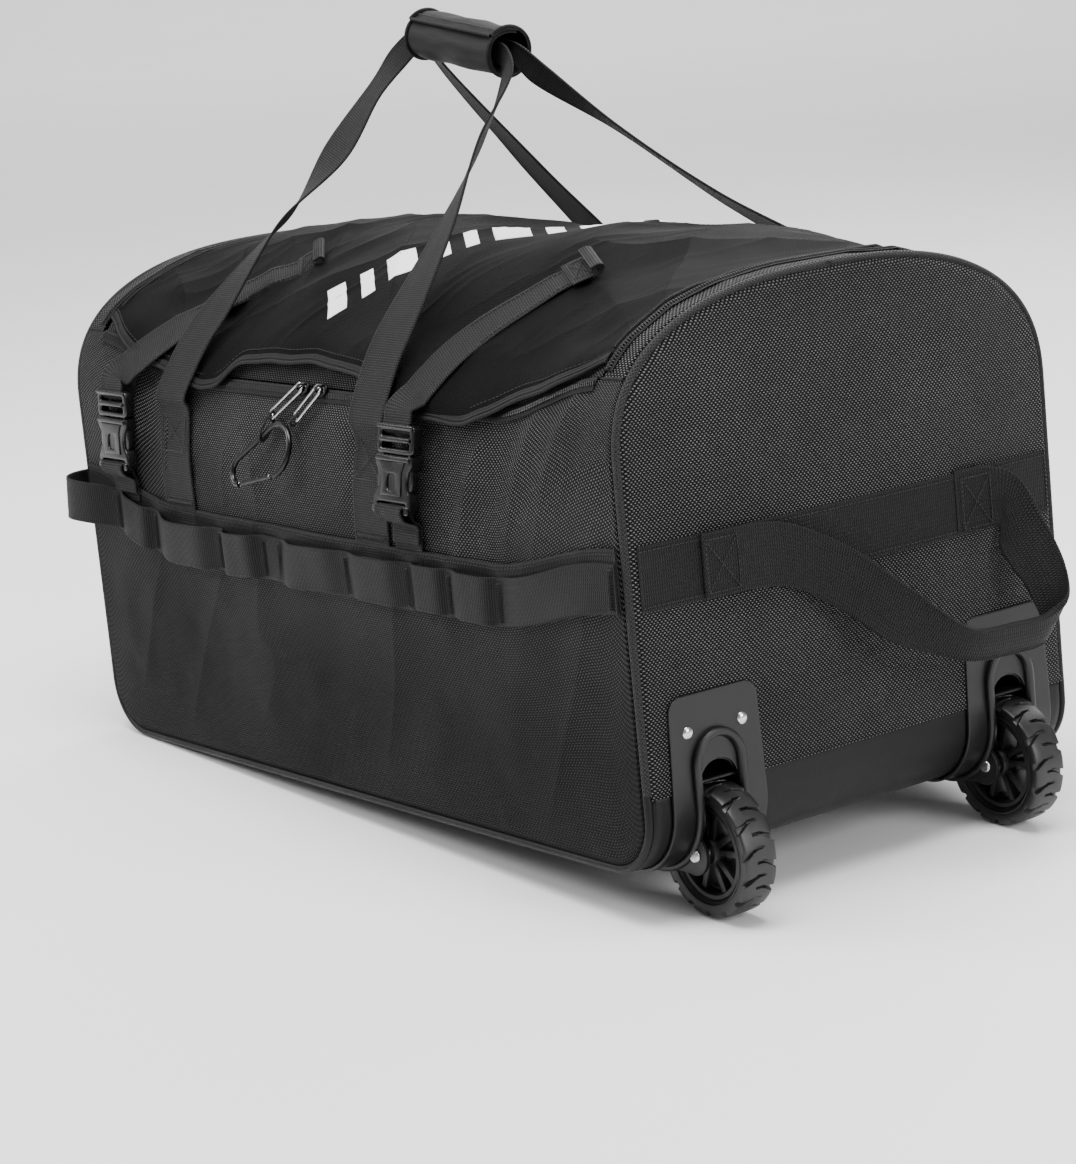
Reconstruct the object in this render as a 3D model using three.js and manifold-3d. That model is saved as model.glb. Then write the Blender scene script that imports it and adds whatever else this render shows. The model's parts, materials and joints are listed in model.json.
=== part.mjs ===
// Rolling duffel bag: a soft hollow bag on a pair of in-line wheels, with a zipped lid under a storm flap,
// two carrying handles joined by a grip wrap, compression buckles and a haul handle at the wheel end.
// Units are millimetres. The bag is drawn level in its own frame: +X is the wheel end, -Y the front with the
// buckles, Z = 0 the underside. The whole bag is then tipped to stand on its wheels and its foot-end edge.
import * as THREE from 'three';
import { mergeVertices } from 'three/addons/utils/BufferGeometryUtils.js';
import Module from 'manifold-3d';

const wasm = await Module();
wasm.setup();

// ---------------------------------------------------------------- driving dimensions
const HALF_LENGTH = 407.2;
const HALF_WIDTH = 216;
const END_HEIGHT = 436;
const CROWN_HEIGHT = 453;
const CORNER_RADIUS = 50;       // where the ends turn under the bag
const BASE_WRAP = 63;           // height of the base fabric on both ends
const FABRIC = 3;
const GAP = 0.4;                // between sewn layers
const PIPING_RADIUS = 3.3;
const PIPING_INSET = 3.6;
const PANEL_END = 400;          // where the long panels stop, beside the piping
const LID_END = 373;
const ZIP_GIRTH = 3.295;        // girth station of the front zip
const REAR_SEAM = 350;          // height of the seam that the lid hinges on
const BELT_LOW = 204;
const WEBBING = 50;             // width of belt and handle webbing
const WEBBING_THICK = 2;
const BELT_SAG = 28;            // how far the long belts hang lower in mid bag
const HANDLE_ROOT = 318;        // height where the handles leave their sewn webbing
const WHEEL = { x: 402, y: 149, z: 11, radius: 51, width: 30 };
const GRIP = { centre: new THREE.Vector3(-39, 0, 606), half: 61, radius: 22, bore: 18.5, drop: 18 / 122 };
const FRONT_HANDLE_X = [-240, 73];
const REAR_HANDLE_X = [-131, 195];
const BUCKLES = { left: -325, right: 126 };

// ---------------------------------------------------------------- materials
function finish(color, roughness, metalness = 0) {
  return new THREE.MeshStandardMaterial({ color, roughness, metalness });
}

const WEAVE = finish(0x2b2b2c, 0.85);
const BASE_FABRIC = finish(0x1d1d1e, 0.7);
const LID_FABRIC = finish(0x1f1f20, 0.75);
const WEB = finish(0x1a1a1b, 0.8);
const TRIM = finish(0x18181a, 0.75);
const PLASTIC = finish(0x242425, 0.45);
const HUB_PLASTIC = finish(0x202021, 0.5);
const RUBBER = finish(0x1c1c1c, 0.6);
const STEEL = finish(0xc4c6c8, 0.25, 1);
const GUNMETAL = finish(0x3a3b3d, 0.35, 1);
const BOARD = finish(0x39342c, 0.8);

// ---------------------------------------------------------------- helpers
const { clamp, smoothstep, lerp, degToRad } = THREE.MathUtils;
const vec = (x, y, z) => new THREE.Vector3(x, y, z);
const UP_SIDE = new THREE.Matrix4().makeBasis(vec(0, 1, 0), vec(0, 0, 1), vec(1, 0, 0));
const ON_SIDE = new THREE.Matrix4().makeBasis(vec(1, 0, 0), vec(0, 0, 1), vec(0, -1, 0));

const bag = new THREE.Group();

function add(name, geometry, material, parent = bag) {
  const mesh = new THREE.Mesh(geometry, material);
  mesh.name = name;
  parent.add(mesh);
  return mesh;
}

const at = (geometry, x, y, z) => geometry.translate(x, y, z);
const block = (w, d, h, x = 0, y = 0, z = 0) => at(new THREE.BoxGeometry(w, d, h), x, y, z);

// A shape drawn in Y and Z and extruded towards +X from x.
const alongX = (shape, depth, x, curveSegments = 12) => new THREE.ExtrudeGeometry(shape,
  { depth, bevelEnabled: false, curveSegments }).applyMatrix4(UP_SIDE).translate(x, 0, 0);

// A shape drawn in X and Z and extruded towards +Y from y.
const alongY = (shape, depth, y, curveSegments = 12) => new THREE.ExtrudeGeometry(shape,
  { depth, bevelEnabled: false, curveSegments }).applyMatrix4(ON_SIDE).translate(0, y + depth, 0);

function solidOf(geometry) {
  const bare = geometry.clone();
  bare.deleteAttribute('normal');
  bare.deleteAttribute('uv');
  const merged = mergeVertices(bare, 1e-3);
  return new wasm.Manifold(new wasm.Mesh({
    numProp: 3,
    vertProperties: merged.attributes.position.array,
    triVerts: new Uint32Array(merged.index.array),
  }));
}

function geometryOf(solid) {
  const mesh = solid.getMesh();
  const geometry = new THREE.BufferGeometry();
  geometry.setAttribute('position', new THREE.BufferAttribute(new Float32Array(mesh.vertProperties), 3));
  geometry.setIndex(new THREE.BufferAttribute(new Uint32Array(mesh.triVerts), 1));
  geometry.computeVertexNormals();
  return geometry;
}

const join = (...parts) => geometryOf(parts.map(solidOf).reduce((all, one) => all.add(one)));

function cut(base, ...tools) {
  return geometryOf(tools.map(solidOf).reduce((left, tool) => left.subtract(tool), solidOf(base)));
}

function outline(points) {
  return new THREE.Shape(points.map(([a, b]) => new THREE.Vector2(a, b)));
}

function roundedBox(width, height, radius, cx = 0, cy = 0, ShapeClass = THREE.Shape) {
  const [w, h] = [width / 2 - radius, height / 2 - radius];
  const shape = new ShapeClass();
  shape.moveTo(cx - w, cy - h - radius);
  shape.lineTo(cx + w, cy - h - radius);
  shape.absarc(cx + w, cy - h, radius, -Math.PI / 2, 0);
  shape.absarc(cx + w, cy + h, radius, 0, Math.PI / 2);
  shape.absarc(cx - w, cy + h, radius, Math.PI / 2, Math.PI);
  shape.absarc(cx - w, cy - h, radius, Math.PI, 1.5 * Math.PI);
  return shape;
}

// A strip of even thickness that follows a polyline in its own plane.
function band(points, thick) {
  const line = points.map(([a, b]) => new THREE.Vector2(a, b));
  const offset = (side) => line.map((p, i) => {
    const before = line[Math.max(i - 1, 0)];
    const after = line[Math.min(i + 1, line.length - 1)];
    const along = after.clone().sub(before).normalize();
    return p.clone().add(vec2(-along.y, along.x).multiplyScalar(side * thick / 2));
  });
  return new THREE.Shape([...offset(-1), ...offset(1).reverse()]);
}

function vec2(a, b) {
  return new THREE.Vector2(a, b);
}

// A curve through its stations, sampled station by station, for an extrusion with a step at each.
class Route extends THREE.Curve {
  constructor(stations) {
    super();
    this.stations = stations;
  }

  getPoint(t, target = vec(0, 0, 0)) {
    const place = clamp(t, 0, 1) * (this.stations.length - 1);
    const i = Math.min(Math.floor(place), this.stations.length - 2);
    return target.lerpVectors(this.stations[i], this.stations[i + 1], place - i);
  }

  getPointAt(u, target) {
    return this.getPoint(u, target);
  }

  getTangentAt(u, target = vec(0, 0, 0)) {
    const step = 0.5 / (this.stations.length - 1);
    return target.subVectors(this.getPoint(u + step), this.getPoint(u - step)).normalize();
  }
}

function rod(stations, radius, sides) {
  const section = new THREE.Shape(Array.from({ length: sides }, (_, i) => {
    const a = 2 * Math.PI * i / sides;
    return vec2(radius * Math.cos(a), radius * Math.sin(a));
  }));
  return new THREE.ExtrudeGeometry(section, { steps: stations.length - 1, extrudePath: new Route(stations) });
}

// Webbing as a flat ribbon: each station has a middle point and half its width as a vector.
function ribbon(stations, thick) {
  const n = stations.length - 1;
  const geometry = new THREE.BoxGeometry(1, 1, 1, n, 1, 1);
  const p = geometry.attributes.position;
  for (let k = 0; k < p.count; k++) {
    const i = Math.round((p.getX(k) + 0.5) * n);
    const { middle, half } = stations[i];
    const along = stations[Math.min(i + 1, n)].middle.clone().sub(stations[Math.max(i - 1, 0)].middle);
    const normal = along.cross(half).normalize().multiplyScalar(Math.sign(p.getZ(k)) * thick / 2);
    const place = middle.clone().addScaledVector(half, Math.sign(p.getY(k))).add(normal);
    p.setXYZ(k, place.x, place.y, place.z);
  }
  geometry.computeVertexNormals();
  return geometry;
}

function smoothStations(controls, count) {
  const middles = new THREE.CatmullRomCurve3(controls.map((c) => c[0]), false, 'centripetal');
  const halves = new THREE.CatmullRomCurve3(controls.map((c) => c[1]), false, 'catmullrom', 0.3);
  return Array.from({ length: count + 1 }, (_, i) => ({
    middle: middles.getPoint(i / count),
    half: halves.getPoint(i / count),
  }));
}

// ---------------------------------------------------------------- the bag's outer surface
// Girth stations: 2 at the front edge of the underside, 3 at the front shoulder, 4 on the crown,
// 5 at the back shoulder and 6 at the back edge of the underside.
const CROWN = 4;

function section(x) {
  const end = smoothstep(Math.abs(x), 230, 395);
  return {
    height: lerp(CROWN_HEIGHT, END_HEIGHT, end),
    front: { shoulder: lerp(254, 311, end), power: lerp(2, 2.45, end) },
    back: { shoulder: lerp(300, 311, end), power: lerp(2.4, 2.45, end) },
  };
}

function girthPoint(x, g, out) {
  const s = section(x);
  const side = g < CROWN ? -1 : 1;
  const half = side < 0 ? s.front : s.back;
  const turn = Math.abs(g - CROWN);
  const reach = HALF_WIDTH + out;
  if (turn >= 1) return vec(x, side * reach, (2 - turn) * half.shoulder);
  const a = turn * Math.PI / 2;
  const k = 2 / half.power;
  const rise = s.height - half.shoulder + out;
  return vec(x, side * reach * Math.sin(a) ** k, half.shoulder + rise * Math.cos(a) ** k);
}

function girthAt(x, z, side) {
  const s = section(x);
  const half = side < 0 ? s.front : s.back;
  if (z <= half.shoulder) return CROWN + side * (2 - z / half.shoulder);
  const rise = (z - half.shoulder) / (s.height - half.shoulder);
  return CROWN + side * Math.acos(rise ** (half.power / 2)) / (Math.PI / 2);
}

const onSurface = (x, z, side, out) => girthPoint(x, girthAt(x, z, side), out);

const HALF_STATIONS = [0, 75, 150, 230, 260, 300, 330, 357.5, 370, 382, 392];
const X_STATIONS = [...HALF_STATIONS.slice(1).map((x) => -x).reverse(), ...HALF_STATIONS];
const G_STATIONS = [2.5, 3, 3.125, 3.25, 3.375, 3.5, 3.625, 3.75, 3.875, 4, 4.125, 4.25, 4.375, 4.5,
  4.625, 4.75, 4.875, 5, 5.5];

// A layer of fabric on the bag's surface, between two stations along the bag, two girth edges
// and two offsets.
function skin({ x: [x0, x1], low, high, out: [inner, outer], slant = 0 }) {
  const value = (f, x) => (typeof f === 'function' ? f(x) : f);
  const xs = slant ? [x0, x1] : [x0, ...X_STATIONS.filter((x) => x > x0 + 2 && x < x1 - 2), x1];
  const lowest = Math.max(...xs.map((x) => value(low, x)));
  const highest = Math.min(...xs.map((x) => value(high, x)));
  const between = G_STATIONS.filter((g) => g > lowest + 0.02 && g < highest - 0.02);
  const [nx, ng] = [xs.length - 1, between.length + 1];
  const geometry = new THREE.BoxGeometry(1, 1, 1, nx, ng, 1);
  const p = geometry.attributes.position;
  for (let k = 0; k < p.count; k++) {
    const x = xs[Math.round((p.getX(k) + 0.5) * nx)];
    const row = Math.round((p.getY(k) + 0.5) * ng);
    const g = [value(low, x), ...between, value(high, x)][row];
    const out = value(p.getZ(k) > 0 ? outer : inner, x);
    const place = girthPoint(x + slant * (g - value(low, x)), g, out);
    p.setXYZ(k, place.x, place.y, place.z);
  }
  geometry.computeVertexNormals();
  return geometry;
}

// ---------------------------------------------------------------- shell
const PANEL_OUT = [-FABRIC, 0];

// Height of the long panels' lower edge: straight, then round inside the piping at both ends.
function panelFoot(x) {
  const straight = HALF_LENGTH - CORNER_RADIUS;
  const past = Math.abs(x) - straight;
  const radius = CORNER_RADIUS - 2 * PIPING_INSET;
  return past <= 0 ? CORNER_RADIUS - radius : CORNER_RADIUS - Math.sqrt(Math.max(radius ** 2 - past ** 2, 0));
}

function longPanels() {
  add('front_panel', skin({ x: [-PANEL_END, PANEL_END], low: (x) => girthAt(x, panelFoot(x), -1),
    high: ZIP_GIRTH - 0.003, out: PANEL_OUT }), WEAVE);
  add('back_panel', skin({ x: [-PANEL_END, PANEL_END], low: (x) => girthAt(x, REAR_SEAM - 0.5, 1),
    high: (x) => girthAt(x, panelFoot(x), 1), out: PANEL_OUT }), WEAVE);
}

const POCKET_HALF = 22;         // half width of the wheel pocket that stands inside the bag
const POCKET_TOP = 90;
const POCKET_ROOM = 3.8;        // room round the pocket for the axle's heads

const wheelHoles = () => [-1, 1].map((side) => block(160, 2 * (POCKET_HALF + POCKET_ROOM), 200,
  WHEEL.x, side * WHEEL.y, -22));

function basePanel() {
  const arm = (r, flip) => [0, 1, 2, 3, 4, 5, 6].map((i) => {
    const a = i / 6 * Math.PI / 2;
    const turned = flip ? Math.PI / 2 - a : a;
    return [(HALF_LENGTH - CORNER_RADIUS + r * Math.cos(turned)), CORNER_RADIUS - r * Math.sin(turned)];
  });
  const side = (r, flip) => (flip
    ? [...arm(r, true), [HALF_LENGTH - CORNER_RADIUS + r, BASE_WRAP]]
    : [[HALF_LENGTH - CORNER_RADIUS + r, BASE_WRAP], ...arm(r, false)]);
  const mirrored = (points) => points.map(([x, z]) => [-x, z]);
  const [outer, inner] = [CORNER_RADIUS, CORNER_RADIUS - FABRIC];
  const shape = outline([...mirrored(side(outer, false)), ...side(outer, true),
    ...side(inner, false), ...mirrored(side(inner, true))]);
  const half = HALF_WIDTH - 2 * PIPING_INSET;
  const strip = alongY(shape, 2 * half, -half);
  add('base_panel', cut(strip, ...wheelHoles()), BASE_FABRIC);
}

function baseBoard() {
  const board = block(2 * (HALF_LENGTH - CORNER_RADIUS), 390, 4, 0, 0, FABRIC + GAP + 2);
  add('base_board', cut(board, ...wheelHoles()), BOARD);
}

function endPanels() {
  const x = PANEL_END;
  const foot = BASE_WRAP + 0.5;
  const inset = -2 * PIPING_INSET;
  const dome = G_STATIONS.filter((g) => g >= 3 && g <= 5);
  const stations = [girthAt(x, foot, -1), 2.5, ...dome, 5.5, girthAt(x, foot, 1)];
  const shape = outline(stations.map((g) => {
    const p = girthPoint(x, g, inset);
    return [p.y, p.z];
  }));
  const room = [-1, 1].map((side) => block(40, 2 * POCKET_HALF + 2, 80, HALF_LENGTH, side * WHEEL.y,
    LIP.top - 46));
  add('wheel_end_panel', cut(alongX(shape, FABRIC, HALF_LENGTH - FABRIC), ...room), WEAVE);
  add('foot_end_panel', alongX(shape, FABRIC, -HALF_LENGTH), WEAVE);
}

function topStrips() {
  for (const [name, side] of [['wheel', 1], ['foot', -1]]) {
    const x = [LID_END + 3.5, PANEL_END].map((v) => v * side).sort((a, b) => a - b);
    const strip = { x, low: ZIP_GIRTH + 0.003, high: (v) => girthAt(v, REAR_SEAM + 0.5, 1), out: PANEL_OUT };
    add(`top_strip_${name}_end`, skin(strip), WEAVE);
  }
}

// Piping runs from the crown at the wheel end down the edge, along the underside and up the foot end.
function piping() {
  const x = HALF_LENGTH - PIPING_INSET;
  const straight = HALF_LENGTH - CORNER_RADIUS;
  const radius = CORNER_RADIUS - PIPING_INSET;
  const y = HALF_WIDTH - PIPING_INSET;
  for (const [name, side] of [['front', -1], ['rear', 1]]) {
    const dome = [0.004, 0.125, 0.25, 0.375, 0.5, 0.625, 0.75, 0.875, 1].map((turn) => girthPoint(PANEL_END,
      CROWN + side * turn, -PIPING_INSET).setX(x));
    const bend = [0, 1, 2, 3, 4, 5, 6].map((i) => {
      const a = i / 6 * Math.PI / 2;
      return vec(straight + radius * Math.cos(a), side * y, CORNER_RADIUS - radius * Math.sin(a));
    });
    const half = [...dome, ...bend];
    const other = half.map((p) => vec(-p.x, p.y, p.z)).reverse();
    add(`piping_${name}`, rod([...half, ...other], PIPING_RADIUS, 6), TRIM);
  }
}

// ---------------------------------------------------------------- belts and sewn webbing
const beltSag = (x) => -BELT_SAG * (1 - smoothstep(Math.abs(x), 230, PANEL_END));

function sagged(geometry) {
  const p = geometry.attributes.position;
  for (let k = 0; k < p.count; k++) p.setZ(k, p.getZ(k) + beltSag(p.getX(k)));
  return geometry;
}

function belts() {
  const middle = BELT_LOW + WEBBING / 2;
  const off = GAP + WEBBING_THICK / 2;
  for (const [name, side] of [['front', -1], ['rear', 1]]) {
    add(`belt_${name}`, sagged(at(new THREE.BoxGeometry(2 * PANEL_END - 2, WEBBING_THICK, WEBBING, 16, 1, 1),
      0, side * (HALF_WIDTH + off), middle)), WEB);
  }
  for (const [name, side] of [['wheel_end', 1], ['foot_end', -1]]) {
    add(`belt_${name}`, block(WEBBING_THICK, 2 * (HALF_WIDTH - 3 * PIPING_INSET), WEBBING,
      side * (HALF_LENGTH + off), 0, middle), WEB);
  }
}

// Webbing sewn over the front belt at the tacks and loose between them.
// It also stands round the front corner.
const TACKS = [-340, -282, -172, -99, -74, 34, 124, 180, 246, 394];
const DAISY_WIDTH = 44;
const DAISY_THICK = 1.6;

function daisyChain() {
  const flat = HALF_WIDTH + GAP + WEBBING_THICK + GAP + DAISY_THICK / 2;
  const puffed = flat + 6;
  const corner = [[-HALF_LENGTH - 4, -150], [-HALF_LENGTH - 4, -168], [-424, -190], [-426, -214],
    [-416, -232], [-396, -241], [-372, -238]];
  const run = [];
  TACKS.forEach((x, i) => {
    run.push([x - 5, -flat], [x + 5, -flat]);
    const next = TACKS[i + 1];
    if (next) run.push([lerp(x, next, 0.25), -puffed], [lerp(x, next, 0.75), -puffed]);
  });
  const shape = band([...corner, ...run], DAISY_THICK);
  const strip = new THREE.ExtrudeGeometry(shape, { depth: DAISY_WIDTH, bevelEnabled: false });
  add('daisy_chain', sagged(at(strip, 0, 0, BELT_LOW + 1)), WEB);
}

function handleAnchors() {
  const ends = { front: FRONT_HANDLE_X, rear: REAR_HANDLE_X };
  for (const [name, side] of [['front', -1], ['rear', 1]]) {
    ends[name].forEach((x, i) => {
      const beltTop = (v) => girthAt(v, BELT_LOW + WEBBING + beltSag(v) + 1, side);
      const root = (v) => girthAt(v, HANDLE_ROOT, side);
      const [low, high] = side < 0 ? [beltTop, root] : [root, beltTop];
      const patch = { x: [x - WEBBING / 2, x + WEBBING / 2], low, high, out: [GAP, GAP + WEBBING_THICK] };
      add(`handle_anchor_${name}_${['left', 'right'][i]}`, skin(patch), WEB);
    });
  }
}

// ---------------------------------------------------------------- lid
// Heights of the storm flap's hem along the bag: it rises over the zip pulls and towards both ends.
const HEM = [[-371, 385], [-300, 352], [-200, 332], [-165, 338], [-150, 357], [55, 357], [75, 338],
  [120, 326], [200, 326], [277, 351], [371, 385]];

function hemHeight(x) {
  const i = clamp(HEM.findIndex(([hx]) => hx >= x), 1, HEM.length - 1);
  const [[x0, z0], [x1, z1]] = [HEM[i - 1], HEM[i]];
  return lerp(z0, z1, clamp((x - x0) / (x1 - x0), 0, 1));
}

const FLAP_OUT = [5, 6.6];
const FLAP_TOP = 3.43;
const STRAP_OUT = [8.4, 10];
const KEEPER_OUT = [10.6, 12.2];
const STRAP_TOP = 3.76;
const STRAPS = { left: { slant: 232, width: 40 }, right: { slant: 178, width: 40 } };
const STRAP_FOOT = 336;

function lid() {
  const seam = (x) => girthAt(x, REAR_SEAM + 0.5, 1);
  const hem = (x) => girthAt(x, hemHeight(x), -1);
  const panel = { x: [-LID_END, LID_END], low: ZIP_GIRTH + 0.003, high: seam, out: PANEL_OUT };
  const flap = { x: [-LID_END + 2, LID_END - 2], low: hem, high: FLAP_TOP, out: FLAP_OUT };
  add('lid_panel', skin(panel), LID_FABRIC);
  add('storm_flap', skin(flap), LID_FABRIC);
  for (const [name, { slant, width }] of Object.entries(STRAPS)) {
    const x = BUCKLES[name];
    const low = girthAt(x, STRAP_FOOT, -1);
    const strap = { x: [x - width / 2, x + width / 2], low, high: STRAP_TOP, out: STRAP_OUT, slant };
    add(`lid_strap_${name}`, skin(strap), WEB);
    const top = x + slant * (STRAP_TOP - 0.05 - low);
    const [near, far] = [STRAP_TOP - 0.09, STRAP_TOP - 0.01];
    const keeper = { x: [top - 26, top + 26], low: near, high: far, out: KEEPER_OUT };
    add(`strap_keeper_${name}`, skin(keeper), WEB);
  }
}

function zips() {
  add('zip_front', skin({ x: [-LID_END + 2, LID_END - 2], low: ZIP_GIRTH - 0.034, high: ZIP_GIRTH - 0.004,
    out: [GAP, 1.8] }), TRIM);
  for (const [name, side] of [['wheel', 1], ['foot', -1]]) {
    const x = [LID_END + 4, LID_END + 11].map((v) => v * side).sort((a, b) => a - b);
    add(`zip_${name}_side`, skin({ x, low: ZIP_GIRTH + 0.03, high: 4.7, out: [GAP, 1.8] }), TRIM);
  }
}

// ---------------------------------------------------------------- carrying handles and grip
const axisHeight = (x) => GRIP.centre.z - (x - GRIP.centre.x) * GRIP.drop;
const LOOP_HALF = WEBBING / 2;
const TUCKED_HALF = 9;

function handleLoop(name, side, [left, right], [leftLean, rightLean]) {
  const inner = side * 6;
  const wide = (sign) => vec(sign * LOOP_HALF, 0, 0);
  const lift = [[HANDLE_ROOT + 2.5, 9], [345, 10], [366, 11.5], [384, 13]];
  const low = (x) => lift.map(([z, out]) => onSurface(x, z, side, out));
  const rise = (from, to, share) => from.clone().lerp(to, share);
  const [leftEnd, rightEnd] = [GRIP.centre.x - GRIP.half, GRIP.centre.x + GRIP.half];
  const leftRun = low(left).map((p, i) => p.setX(left + leftLean * i / 3));
  const rightRun = low(right).map((p, i) => p.setX(right + rightLean * i / 3));
  const leftTop = vec(leftEnd - 16, side * 17, axisHeight(leftEnd) - 16);
  const rightTop = vec(rightEnd + 16, side * 17, axisHeight(rightEnd) - 20);
  const controls = [
    ...leftRun.map((p) => [p, wide(1)]),
    [rise(leftRun[3], leftTop, 0.5), vec(22, 0, -6)],
    [leftTop, vec(10, 0, -7)],
    [vec(leftEnd - 2, side * 7, axisHeight(leftEnd) - 3), vec(4, 0, -TUCKED_HALF)],
    [vec(leftEnd + 12, inner, axisHeight(leftEnd + 12)), vec(-1, 0, -TUCKED_HALF)],
    [vec(rightEnd - 12, inner, axisHeight(rightEnd - 12)), vec(-1, 0, -TUCKED_HALF)],
    [vec(rightEnd + 2, side * 7, axisHeight(rightEnd) - 3), vec(-4, 0, -TUCKED_HALF)],
    [rightTop, vec(-10, 0, -7)],
    [rise(rightTop, rightRun[3], 0.5), vec(-22, 0, -6)],
    ...rightRun.reverse().map((p) => [p, wide(-1)]),
  ];
  add(`${name}_handle_loop`, ribbon(smoothStations(controls, 45), WEBBING_THICK), WEB);
}

function gripWrap() {
  const ring = new THREE.Shape().absarc(0, 0, GRIP.radius, 0, 2 * Math.PI);
  ring.holes.push(new THREE.Path().absarc(0, 0, GRIP.bore, 0, 2 * Math.PI, true));
  const tube = alongX(ring, 2 * GRIP.half, -GRIP.half, 10);
  const mesh = add('grip_wrap', tube, TRIM);
  mesh.rotation.y = Math.atan(GRIP.drop);
  mesh.position.copy(GRIP.centre);
}

// ---------------------------------------------------------------- wheels
const PLATE = { half: 46, top: 128, thick: 3, foot: 336 };
const OPENING_HALF = 18;
const OPENING_TOP = 83;
const LIP = { half: 25, top: 104, out: 7 };
const AXLE_RADIUS = 3;
const CHEEK_REACH = 414.5;

// The plate's profile in X and Z: down the end, round the corner and under the bag.
function plateProfile() {
  const centre = [HALF_LENGTH - CORNER_RADIUS, CORNER_RADIUS];
  const arc = (r) => [0, 1, 2, 3, 4, 5, 6].map((i) => {
    const a = i / 6 * Math.PI / 2;
    return [centre[0] + r * Math.cos(a), centre[1] - r * Math.sin(a)];
  });
  const [inner, outer] = [CORNER_RADIUS + GAP, CORNER_RADIUS + GAP + PLATE.thick];
  return outline([[centre[0] + inner, PLATE.top], ...arc(inner), [PLATE.foot, CORNER_RADIUS - inner],
    [PLATE.foot, CORNER_RADIUS - outer], ...arc(outer).reverse(), [centre[0] + outer, PLATE.top]].reverse());
}

// Cheek outline in X and Z: a wall beside the wheel that carries the axle.
function cheekProfile() {
  const shape = new THREE.Shape();
  shape.moveTo(CHEEK_REACH, 30);
  shape.lineTo(CHEEK_REACH, LIP.top - 12);
  shape.lineTo(HALF_LENGTH - 4, LIP.top - 8);
  shape.lineTo(HALF_LENGTH - 4, POCKET_TOP);
  shape.lineTo(342, POCKET_TOP);
  shape.lineTo(342, -2);
  shape.lineTo(360, -6);
  shape.absarc(WHEEL.x - 4, WHEEL.z, 18, 1.42 * Math.PI, 1.86 * Math.PI);
  return shape;
}

function wheelHousing(name, side) {
  const y = side * WHEEL.y;
  const plate = alongY(plateProfile(), 2 * PLATE.half, y - PLATE.half);
  const cheeks = alongY(cheekProfile(), 2 * POCKET_HALF, y - POCKET_HALF);
  const lipShape = roundedBox(2 * LIP.half, 2 * LIP.half + 40, LIP.half - 0.5, y, LIP.top - LIP.half - 20);
  const lip = alongX(lipShape, LIP.out, HALF_LENGTH + GAP);
  const below = block(30, 80, 60, HALF_LENGTH + 4, y, -12);
  const well = at(new THREE.CylinderGeometry(WHEEL.radius + 4.5, WHEEL.radius + 4.5, 2 * OPENING_HALF, 32),
    WHEEL.x, y, WHEEL.z);
  const slot = alongX(roundedBox(2 * OPENING_HALF, 150, OPENING_HALF - 0.5, y, OPENING_TOP - 75), 40,
    HALF_LENGTH - 27);
  const [x, z, snug] = [WHEEL.x, WHEEL.z, AXLE_RADIUS + 0.15];
  const bore = at(new THREE.CylinderGeometry(snug, snug, 80, 20), x, y, z);
  const recesses = [-1, 1].map((s) => at(new THREE.CylinderGeometry(6.2, 6.2, 3.4, 20), x,
    y + s * (POCKET_HALF + 1.8), z));
  const rivetHoles = rivetPlaces(y).map(([ry, rz]) => at(new THREE.CylinderGeometry(2.2, 2.2, 30, 12)
    .rotateZ(Math.PI / 2), HALF_LENGTH, ry, rz));
  const body = solidOf(plate).add(solidOf(cheeks)).add(solidOf(lip).subtract(solidOf(below)));
  const tools = [well, slot, bore, ...recesses, ...rivetHoles].map(solidOf);
  const open = tools.reduce((left, tool) => left.subtract(tool), body);
  add(`wheel_housing_${name}`, geometryOf(open), PLASTIC);
}

const RIVET = { spacing: 26, z: 108, head: 5, stem: 2 };
const rivetPlaces = (y) => [-1, 1].map((s) => [y + s * RIVET.spacing, RIVET.z]);

function rivets(name, side) {
  const plateFace = HALF_LENGTH + GAP + PLATE.thick;
  rivetPlaces(side * WHEEL.y).forEach(([y, z], i) => {
    const profile = [[0, -2.6], [RIVET.stem, -2.6], [RIVET.stem, 0.3], [RIVET.head, 0.3], [RIVET.head, 1],
      [RIVET.head * 0.75, 2], [0, 2.3]].map(([r, h]) => vec2(r, h));
    const rivet = new THREE.LatheGeometry(profile, 12).rotateZ(-Math.PI / 2);
    add(`rivet_${name}_${i + 1}`, at(rivet, plateFace, y, z), STEEL);
  });
}

function axle(name, side) {
  const half = POCKET_HALF + 0.4;
  const profile = [[0, -half - 2.4], [5.5, -half - 2.4], [5.5, -half], [AXLE_RADIUS, -half],
    [AXLE_RADIUS, half], [5.5, half], [5.5, half + 2.4], [0, half + 2.4]].map(([r, h]) => vec2(r, h));
  add(`axle_${name}`, at(new THREE.LatheGeometry(profile, 20), WHEEL.x, side * WHEEL.y, WHEEL.z), STEEL);
}

const HUB = { radius: 36.5, rim: 4.5, boss: 9, width: 20, bore: 6.3, spokes: 5 };

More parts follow.
